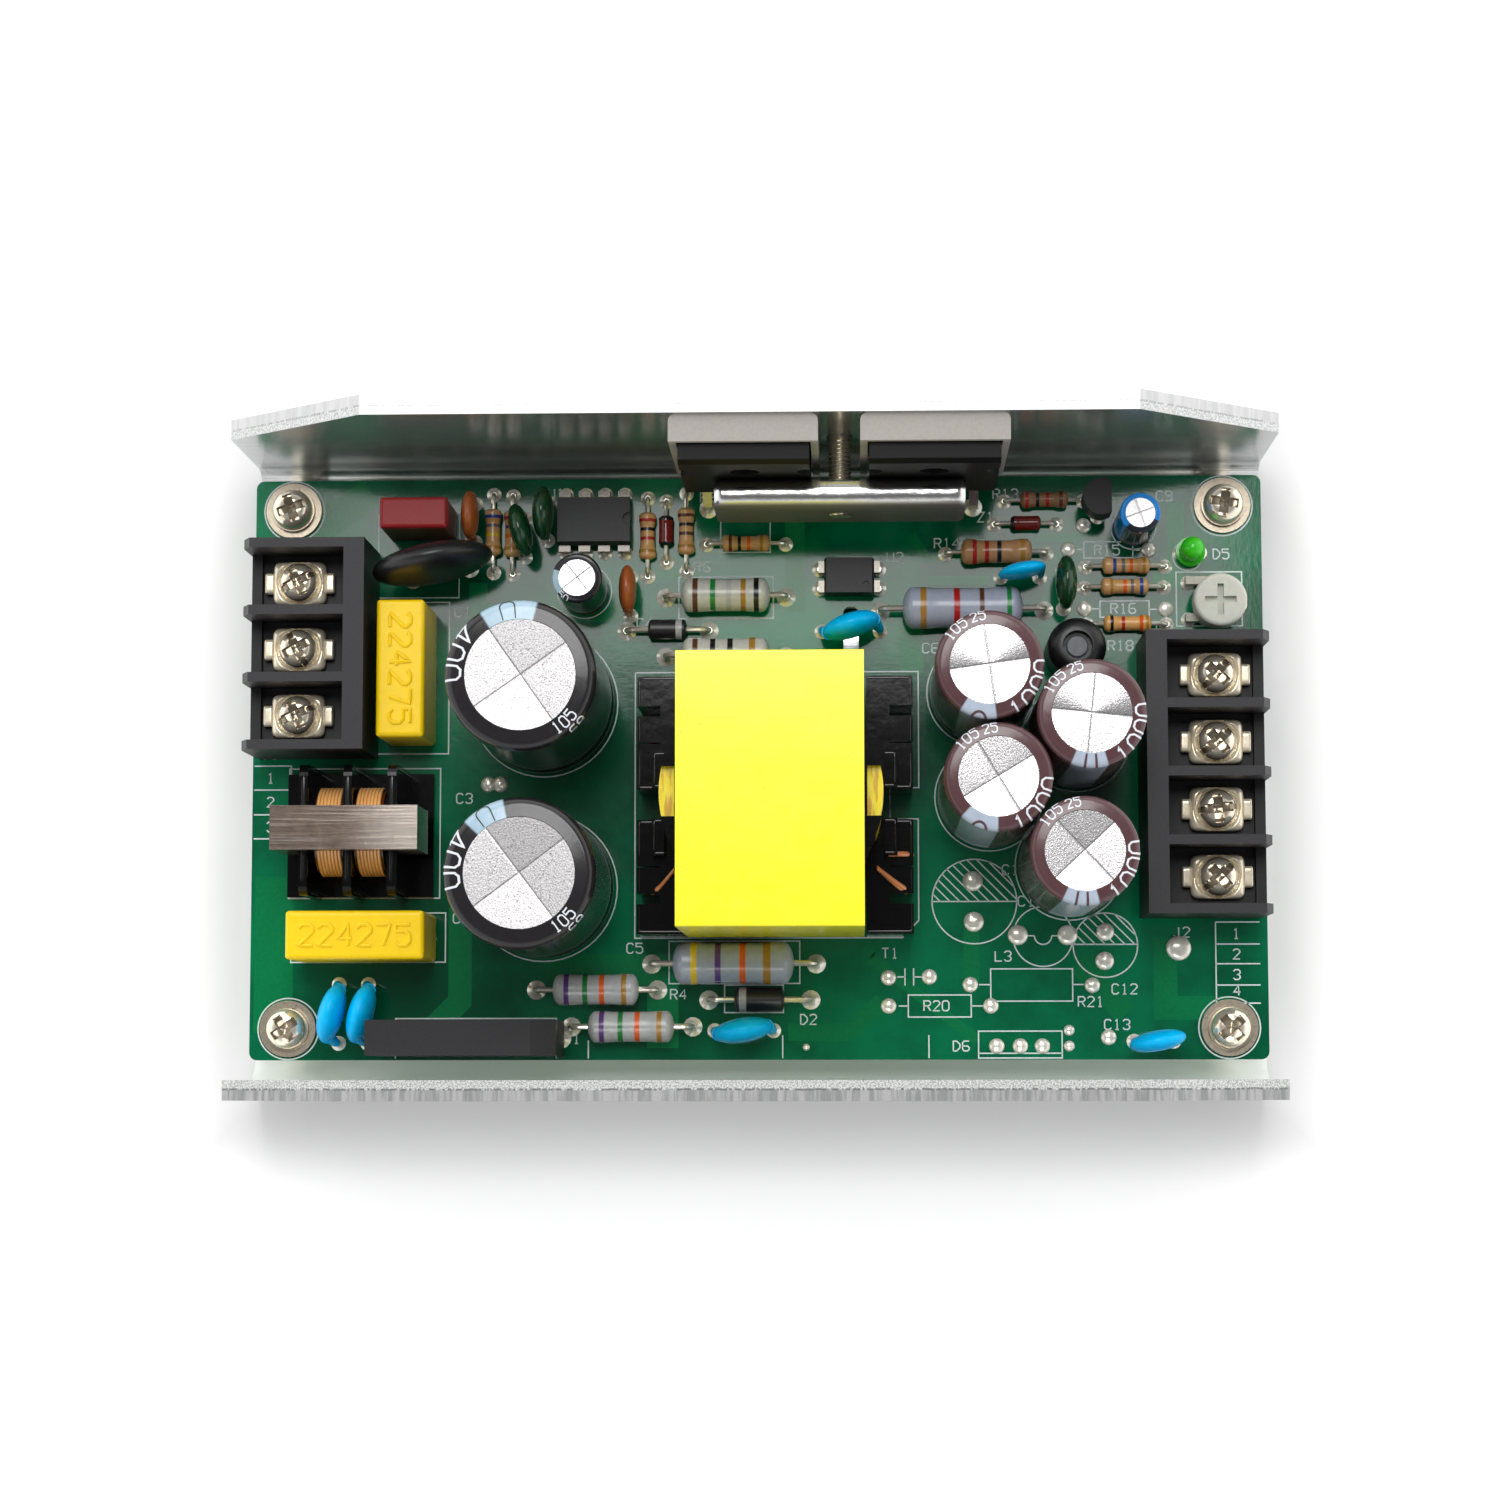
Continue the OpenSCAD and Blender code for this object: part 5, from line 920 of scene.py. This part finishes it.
def screwHead(screw):
    # height falls with a power of the radius, less a cross, shallower outwards, and a slot from edge to edge
    half, slot, (wide, long) = screw["d"] / 2, screw["slot"], screw["arm"]
    lines = np.r_[wide - 0.05, wide + 0.01, long - 0.06, long + 0.02, slot - 0.05, slot + 0.01]
    lines = lines / (0.88 * half)
    s = np.r_[np.sin(np.linspace(-np.pi / 2, np.pi / 2, 43)), lines, -lines]  # net lines beside every edge
    x, y = [q * half for q in pressedNet(np.unique(np.round(s, 4)))]
    z = screw["h"] * np.maximum(1 - (np.hypot(x, y) / half) ** 4, 0) ** 0.45
    cut = np.clip((slot - abs(y)) / 0.05, 0, 1) * 0.5
    for p, q in ((x, y), (y, x)):
        inside = np.clip((wide - abs(p)) / 0.05, 0, 1) * np.clip((long - abs(q)) / 0.06, 0, 1)
        cut = np.maximum(cut, inside * screw["deep"] * (1 - 0.6 * abs(q) / long))
    z = np.where(z > 0.02, np.maximum(z - cut, 0.02), 0)
    radius, length = screw["shank"]
    shank = [(0, -length), (radius - 0.3, -length), (radius, 0.4 - length), (radius, 0), (half, 0)]
    # painted shade: the cross and slot are coloured darker than the head
    paint = np.where((cut > 0.1)[..., None], recessShade, headTone)
    return [surface(np.stack([x, y, z], -1)[::-1], tint=paint[::-1]), turned(shank, 24)]


nickel = worn("screwNickel", None, 0.16, 2.5, 0.1, (5, 0.003), 0.08, Metallic=0.72)
for kind, screw in screws.items():
    head = screwHead(screw)
    heads = [moved(p, x, y, screw["level"], turn) for x, y, turn in screw["places"] for p in head]
    piece(kind + "_screw_heads", heads, nickel, [kind + "_screws"])

plate = dict(half=(3.4, 2.8), thick=0.9, power=7, tab=(0.6, 1.35), tabThick=0.7, tabPower=8, reach=3.85,
             seat=2.62, level=top + 6.8)


def pillow(half, thick, power, x=0):
    # rounded rectangle by a high-power norm, its top falling off at the rim; the screw's seat is pressed in
    u, v = pressedNet(np.linspace(-1, 1, 57))
    rho, a = np.maximum(np.hypot(u, v), 1e-9), np.arctan2(v, u)
    bound = (abs(np.cos(a) / half[0]) ** power + abs(np.sin(a) / half[1]) ** power) ** (-1 / power)
    grow = np.sin(np.minimum(rho, 1) * np.pi / 2)
    z = thick * np.maximum(1 - grow ** 9, 0) ** 0.5
    seat = np.exp(-((grow * bound - plate["seat"]) / 0.2) ** 2) * (half[0] > plate["seat"])
    z -= 0.45 * seat * (z > 0.5)
    return surface(np.stack([grow * bound * np.cos(a) + x, grow * bound * np.sin(a), z], -1)[::-1])


plateParts = [pillow(plate["half"], plate["thick"], plate["power"])]
tab = plate["tab"], plate["tabThick"], plate["tabPower"]
plateParts += [pillow(*tab, s * plate["reach"]) for s in (-1, 1)]
plates = [moved(p, x, y, plate["level"]) for x, y, turn in screws["terminal"]["places"] for p in plateParts]
piece("terminal_clamp_plates", plates, tin, ["terminal_clamps"])

digits = dict(text="224275", size=2.6, thick=0.28, level=top + 12.16,
              places=dict(line_capacitor_1=(-44.4, 11.5, -90), line_capacitor_2=(-49.8, -22, 0)))


def raised(x, y, turn):  # half-sunk round strokes
    strokes = strokesOf(digits["text"], digits["size"])
    middle = np.concatenate(strokes).max(0) / 2
    paths = [np.pad(refined(p, 4) - middle, ((0, 0), (0, 1))) for p in strokes]
    return [moved(tube(p, (0, 0, 1), digits["thick"], 8), x, y, digits["level"], turn) for p in paths]


for node, place in digits["places"].items():
    piece(node + "_digits", raised(*place), boxYellow)

print("stage: solder, silk and copper")

for place, offsets, lead in (
        ((-44.4, 11.5, 90), pair(15), 0.4), ((-49.8, -22), pair(15), 0.4),  # line capacitors
        ((-43.2, 31.6), pair(5), 0.3),  # film capacitor
        ((-36.2, -34.8), [(x, 0) for x in (-11.25, -3.75, 3.75, 11.25)], 0.4),  # bridge
        (chipPlace, [(x, s * 3.81) for x in (-3.81, -1.27, 1.27, 3.81) for s in (-1, 1)], 0.3),
        (optoPlace, [(s * 3.81, y) for y in (-1.27, 1.27) for s in (-1, 1)], 0.3),
        ((44, 33.4, 90), [(x, 0) for x in (-1.27, 0, 1.27)], 0.24),  # regulator
        ((55.8, 27.4), pair(2.54), 0.3),  # lamp
        ((59.1, 20.6), [(-3.6, 2.9), (-3.6, -1.9), (3, 0)], 0.3),  # trimmer
        (transformer, [(sx * 14.9, sy * y) for sx, sy in quarters for y in (4.9, 9.5, 14.1)], 0.4),
        (choke["place"], [(sx * 5.55, sy * 5.58) for sx, sy in quarters], 0.4),
        ((clamp["x"], 33.5), [(s * 11.6 + i * 5.45, 0) for s in (-1, 1) for i in (-1, 0, 1)], 0.6)):
    footed(place, offsets, lead)

spare = [  # soldered holes without a part: x, y and, unless it is 1, the radius
    (27.6, -14.8, 1.3), (27.7, -20, 1.3), (33.3, -21.7, 1.3), (39.6, -21.7, 1.3), (44.4, -21.3, 1.15),
    (44.3, -25, 1.2), (27.2, -28), (42.7, -28.1), (29.8, -30.7), (16.8, -30.7), (16.8, -27.1), (22, -27),
    (30.5, -35.8), (33.5, -35.8), (36.3, -35.8), (39.7, -33.8, 0.7), (39.7, -35.8, 0.7), (44.7, -34.7),
    (53.7, -23.4, 1.6), (-34.5, -2.2), (-33, -2.2), (6.3, -35.9, 0.45), (40.2, 27.9), (50.5, 27.8),
    (42.2, 20.2), (52.6, 20.1), (42.2, 31)]
leadSize = dict(thin=0.3, stout=0.4, terminal=0.7)  # radii that the fillets fit
terminalLeg = 55.2  # x of the terminals' legs


def fillet(lead, reach, high):  # solder drawn up a lead: radius falls as a hollow curve with height
    t = np.linspace(0, 1, 6)
    r = lead + 0.04 + reach * (1 - t) ** 1.8
    return turned(np.r_[[(0, 0), (r[0], 0)], np.c_[r, 0.06 + t * high], [(0, 0.06 + high)]], 14)


def dome(x, y, size=1.0):  # a quarter circle turned, flatter when it is wide
    a = np.linspace(0, np.pi / 2, 8)
    points, faces, tint = turned(np.c_[np.r_[0, np.cos(a)], np.r_[0, 0.05 + 0.45 * np.sin(a)]], 20)
    return moved((points * (size, size, size ** 0.5), faces, tint), x, y, top)


solder = worn("solder", (250, 247, 234), 0.2, 1.7, 0.14, (1.3, 0.02), 0.1, Metallic=0.4)
thin, stout = [[f[:2] for f in feet if (f[2] > 0.35) == big] for big in (False, True)]
terminals = [(np.sign(x) * terminalLeg, y) for x, y, turn in screws["terminal"]["places"]]
upper = [repeated(fillet(leadSize["thin"], 0.62, 0.5), thin, top),
         repeated(fillet(leadSize["stout"], 0.8, 0.6), stout, top)]
lower = [repeated(flipped(fillet(leadSize["terminal"], 0.8, 1.2)), terminals, under),
         repeated(flipped(fillet(leadSize["thin"], 0.7, 0.9)), thin, under),
         repeated(flipped(fillet(leadSize["stout"], 0.9, 1.1)), stout, under)]
piece("solder_upper", upper + [dome(*q) for q in spare], solder)
piece("solder_lower", lower, solder)
piece("lead_wires", wires, tinned)


def boxOf(x0, y0, x1, y1):  # its four corners
    return [(x0, y0), (x1, y0), (x1, y1), (x0, y1)]


def circleOf(x, y, r, start=0, end=360, count=49):  # an arc between two angles
    a = np.radians(np.linspace(start, end, count))
    return np.c_[x + r * np.cos(a), y + r * np.sin(a)]


def hatch(x, y, r, floor, pitch=1.25):  # slanting lines inside a circle above its chord
    lines = []
    for c in np.arange(-1.5 * r, 1.6 * r, pitch):
        t = np.linspace(-2 * r, 2 * r, 801)
        p = np.c_[x + c + t * 0.7, y - t * 0.7]
        inside = (np.hypot(p[:, 0] - x, p[:, 1] - y) < r) & (p[:, 1] > floor)
        if inside.sum() > 8:
            lines.append(p[inside][[0, -1]])
    return lines


def written(text, x, y, size=1.25):  # a line of letters from its lower left
    return [p + (x, y) for p in strokesOf(text, size)]


silkLine, silkLevel = 0.17, top + 0.03
silkBoxes = [
    (-49.2, 21.5, -39.7, 1.8), (-49, 33, -38.5, 22.1), (-59.8, -18.7, -39.9, -25),
    (-60.2, -0.1, -40.7, -16.8),
    (-11.2, -22.4, 5.5, -27.8), (-4.1, -28, 3.4, -31.5), (19.3, -29.3, 27.3, -32.1), (29.8, -26, 40.2, -30.1),
    (28.2, -33.9, 38.8, -37.3), (42.2, 28.9, 48.5, 26.8), (44.2, 21.2, 50.5, 19.1), (-4.6, 31.8, 1.8, 27.8),
    (54, 24.9, 62.4, 17.9), (-10, 24.6, 2.2, 19.2)]
inputRows, outputRows = (0.3, -2.8, -6, -9.1), (-20.1, -22.9, -25.4, -28.1, -30.4)  # lines of the two lists
silkRuns = [
    [(-15.6, 12.2), (-15.6, -22), (18.6, -22), (20.7, -19.8), (20.7, -6.8), (17.1, -6.8), (17.1, -2.8),
     (20.8, -2.8), (20.8, 12.2), (-15.6, 12.2)],  # round the transformer
    [(-46.2, -37.3), (-46.2, -32.2), (-25.6, -32.2), (-25.6, -37.3)],
    [(-21.5, -37.3), (-21.5, -35)], [(3.3, -37.3), (3.3, -34.4)], [(21.9, -37.3), (21.9, -34.4)],
    [(58.4, -20.1), (58.4, -30.4)], [(-60, 0.3), (-60, -9.1)], [(28.2, -36.7), (38.8, -36.7)],
    [(18.1, -30.7), (19.3, -30.7)], [(27.3, -30.7), (28.8, -30.7)], [(28.3, -28), (29.8, -28)],
    [(40.2, -28), (41.6, -28)], [(18.9, -25.9), (18.9, -28.1)], [(20, -25.9), (20, -28.1)],
    [(17.9, -27), (18.9, -27)], [(20, -27), (21, -27)], [(22.4, -17.4), (33.2, -17.4)],
    [(40.3, -22.9), (48.5, -22.9)], [(34.4, -21.8), (35.4, -21.8)], [(37.6, -21.8), (38.6, -21.8)],
    [(41.3, 27.9), (42.2, 27.9)], [(48.5, 27.8), (49.4, 27.8)], [(43.2, 20.2), (44.2, 20.2)],
    [(50.5, 20.1), (51.5, 20.1)]]
silkRuns += [[(58.4, y), (64, y)] for y in outputRows] + [[(-64.8, y), (-60, y)] for y in inputRows]
silkRuns += [circleOf(36.5, -21.8, 1.1, 180, 360, 13)]
silkRings = [circleOf(27.8, -17.4, 5.4), circleOf(36.5, -21.9, 3.8), circleOf(44.4, -23, 4.1),
             circleOf(55.5, 27, 1.9)]
silkRings += [circleOf(sx * 60, sy * 33.5, 3.9) for sx, sy in quarters]
silkRings += [circleOf(*can["place"], can["d"] / 2 + 0.35) for can in cans.values()]
silkRuns += hatch(27.8, -17.4, 5.4, -17.4) + hatch(44.4, -23, 4.1, -22.9)
names = [
    ("R21", 40.9, -30.8), ("C12", 45.2, -29.2), ("L3", 30.4, -25), ("C11", 33.4, -18), ("C10", 31.4, -14),
    ("J2", 53.1, -22), ("D6", 25, -36.4), ("C13", 44.2, -33.7), ("R18", 45.2, 14.8), ("D5", 58.8, 26.6),
    ("R14", 23, 28.2), ("Z1", 28.6, 31.6), ("R13", 30.6, 34.6), ("C9", 51.6, 34.2), ("R15", 43.6, 27.2),
    ("R16", 45.6, 19.6), ("R20", 21.3, -31.3), ("C6", 21.4, 14.6), ("T1", 16, -24.6), ("R4", -11, -29.8),
    ("D2", 5.6, -33), ("C5", -16.6, -23.9), ("R7", -4, 32.6), ("U1", -27, 35), ("L1", -40, -14.6),
    ("C2", -38.9, -20), ("C1", -39, 19.6), ("D1", -24.6, -35.4), ("C3", -38.6, -4.6), ("J1", -63.8, 1.2),
    ("R6", -8, 25.3), ("U2", 16.9, 26.4), ("R9", -7.2, 34.4), ("T2", 51, 17), ("C4", -15.4, 18)]
names += [(str(i + 1), 60.6, y) for i, y in enumerate((-22.2, -24.8, -27.4, -29.4))]
names += [(str(i + 1), -63.1, y) for i, y in enumerate((-1.9, -5, -8.2))]
silkRuns += [p for name in names for p in written(*name)]
silkInk = worn("silkInk", (226, 238, 238), 0.5, 4, 0.16, (12, 0.01))
printed = [ribbon(boxOf(*b), silkLine, silkLevel, True) for b in silkBoxes]
printed += [ribbon(p[:-1], silkLine, silkLevel, True) for p in silkRings]
printed += [ribbon(p, silkLine, silkLevel) for p in silkRuns]
piece("silk_print", printed, silkInk)

traceLevel = top + 0.012
traces = [  # width, line
    (1.7, [(14, -24), (17.5, -20.5), (17.5, -17)]), (2, [(27.4, -21), (27.4, -28)]),
    (1.4, [(14.5, -24.5), (28, -35)]), (3.2, [(41, -25), (45, -29.5), (47, -31.8)]),
    (3, [(-38, -18), (-38, -30), (-44, -36)]), (4, [(-27, -26), (-12, -26), (-12, -36)]),
    (2.2, [(4, -34), (12, -34), (16, -30)]), (5, [(-62, -14), (-62, -34)]),
    (3, [(52, -22), (52, -31), (60, -31)]), (2.4, [(-36, 24), (-36, 20), (-17, 20)]),
    (1.2, [(22, 24), (30, 24)]), (1.2, [(20, 30), (22, 27), (28, 27)]), (2.6, [(5, 33), (5, 20)]),
    (2.2, [(51, 24), (54, 24), (54, 34)]), (4, [(-57, 24), (-57, 31), (-50, 36)]),
    (1, [(36, 29.4), (41, 29.4), (43, 31)]), (1, [(-14, 25), (-8, 25), (-6, 26.5)]),
    (3, [(20, 12), (20, 18)])]
pour = Finish("copperUnderMask", Specular_IOR_Level=0.32)
cloth = pour.noise(2.4, 2)
pour.set(Base_Color=pour.mix(tone(0, 112, 64), tone(8, 128, 78), cloth), Roughness=cloth * 0.06 + 0.1)
pour.bump(cloth, 0.004)
piece("copper_traces", [ribbon(p, w, traceLevel) for w, p in traces], pour)

print("stage: light, floor and camera")

scene = bpy.context.scene
floor = dict(half=2500, level=-0.05, part=(65, 42), fade=(1, 14))  # part: half its length and depth
net = np.linspace(-floor["half"], floor["half"], 3)
grid = np.stack(np.meshgrid(net, net, [floor["level"]], indexing="ij"), -1)[:, ::-1, 0]
points, faces, tint = surface(grid)
floorMesh = bpy.data.meshes.new("floor")
floorMesh.from_pydata(points * mm, [], faces.tolist())
floorObject = bpy.data.objects.new("floor", floorMesh)
scene.collection.objects.link(floorObject)
paper = worn("floorPaper", (228, 228, 228), 0.9, 0.02, 0.02, (0.4, 0.02), Emission_Strength=0.4)
rays = paper.node("LightPath").outputs
seen = [Value(paper, rays["Is " + kind + " Ray"]) for kind in ("Camera", "Glossy", "Transmission")]
px, py = paper.axes()[:2]
away = (abs(px) - floor["part"][0]) | (abs(py) - floor["part"][1])  # near the part its shadow stays
lit = (seen[0] | seen[1] | seen[2]) * paper.step(away, *floor["fade"])
paper.set(Emission_Color=paper.mix((0, 0, 0), (1, 1, 1), lit))
floorMesh.materials.append(paper.material)

softbox = dict(place=(-0.018, 0.36, 0.87), size=(0.365, 0.49), power=4.0)
lamp = bpy.data.lights.new("keyLight", "AREA")
lamp.shape, lamp.energy = "RECTANGLE", softbox["power"]
lamp.size, lamp.size_y = softbox["size"]
keyLight = bpy.data.objects.new("keyLight", lamp)
keyLight.location = softbox["place"]
keyLight.visible_camera = False
scene.collection.objects.link(keyLight)

studio = dict(low=1.35, high=0.16, fade=(0.55, 0.95), lean=0.3)  # bright round the sides, dim overhead
world = bpy.data.worlds.new("studio")
scene.world = world
world.use_nodes = True
sky = Nodes(world.node_tree)
wy, wz = sky.split(sky.node("TexCoord").outputs["Generated"])[1:]
strength = sky.step(wz, *studio["fade"], studio["low"], studio["high"]) * (wy * studio["lean"] + 1)
background = sky.tree.nodes["Background"].inputs
sky.put(background["Strength"], strength)
sky.put(background["Color"], (1, 1, 1))

view = dict(focal=3312.35, frame=1500, sensor=36, place=(0.012881, -0.039476, 0.433437),
            turn=(0.09791, 0.03247, -0.00089))  # focal and frame in pixels of the photo
camera = bpy.data.cameras.new("camera")
camera.sensor_width = view["sensor"]
camera.lens = view["focal"] / view["frame"] * view["sensor"]
eye = bpy.data.objects.new("camera", camera)
eye.location = view["place"]
eye.rotation_euler = view["turn"]
scene.collection.objects.link(eye)
scene.camera = eye
scene.view_settings.view_transform = "Standard"
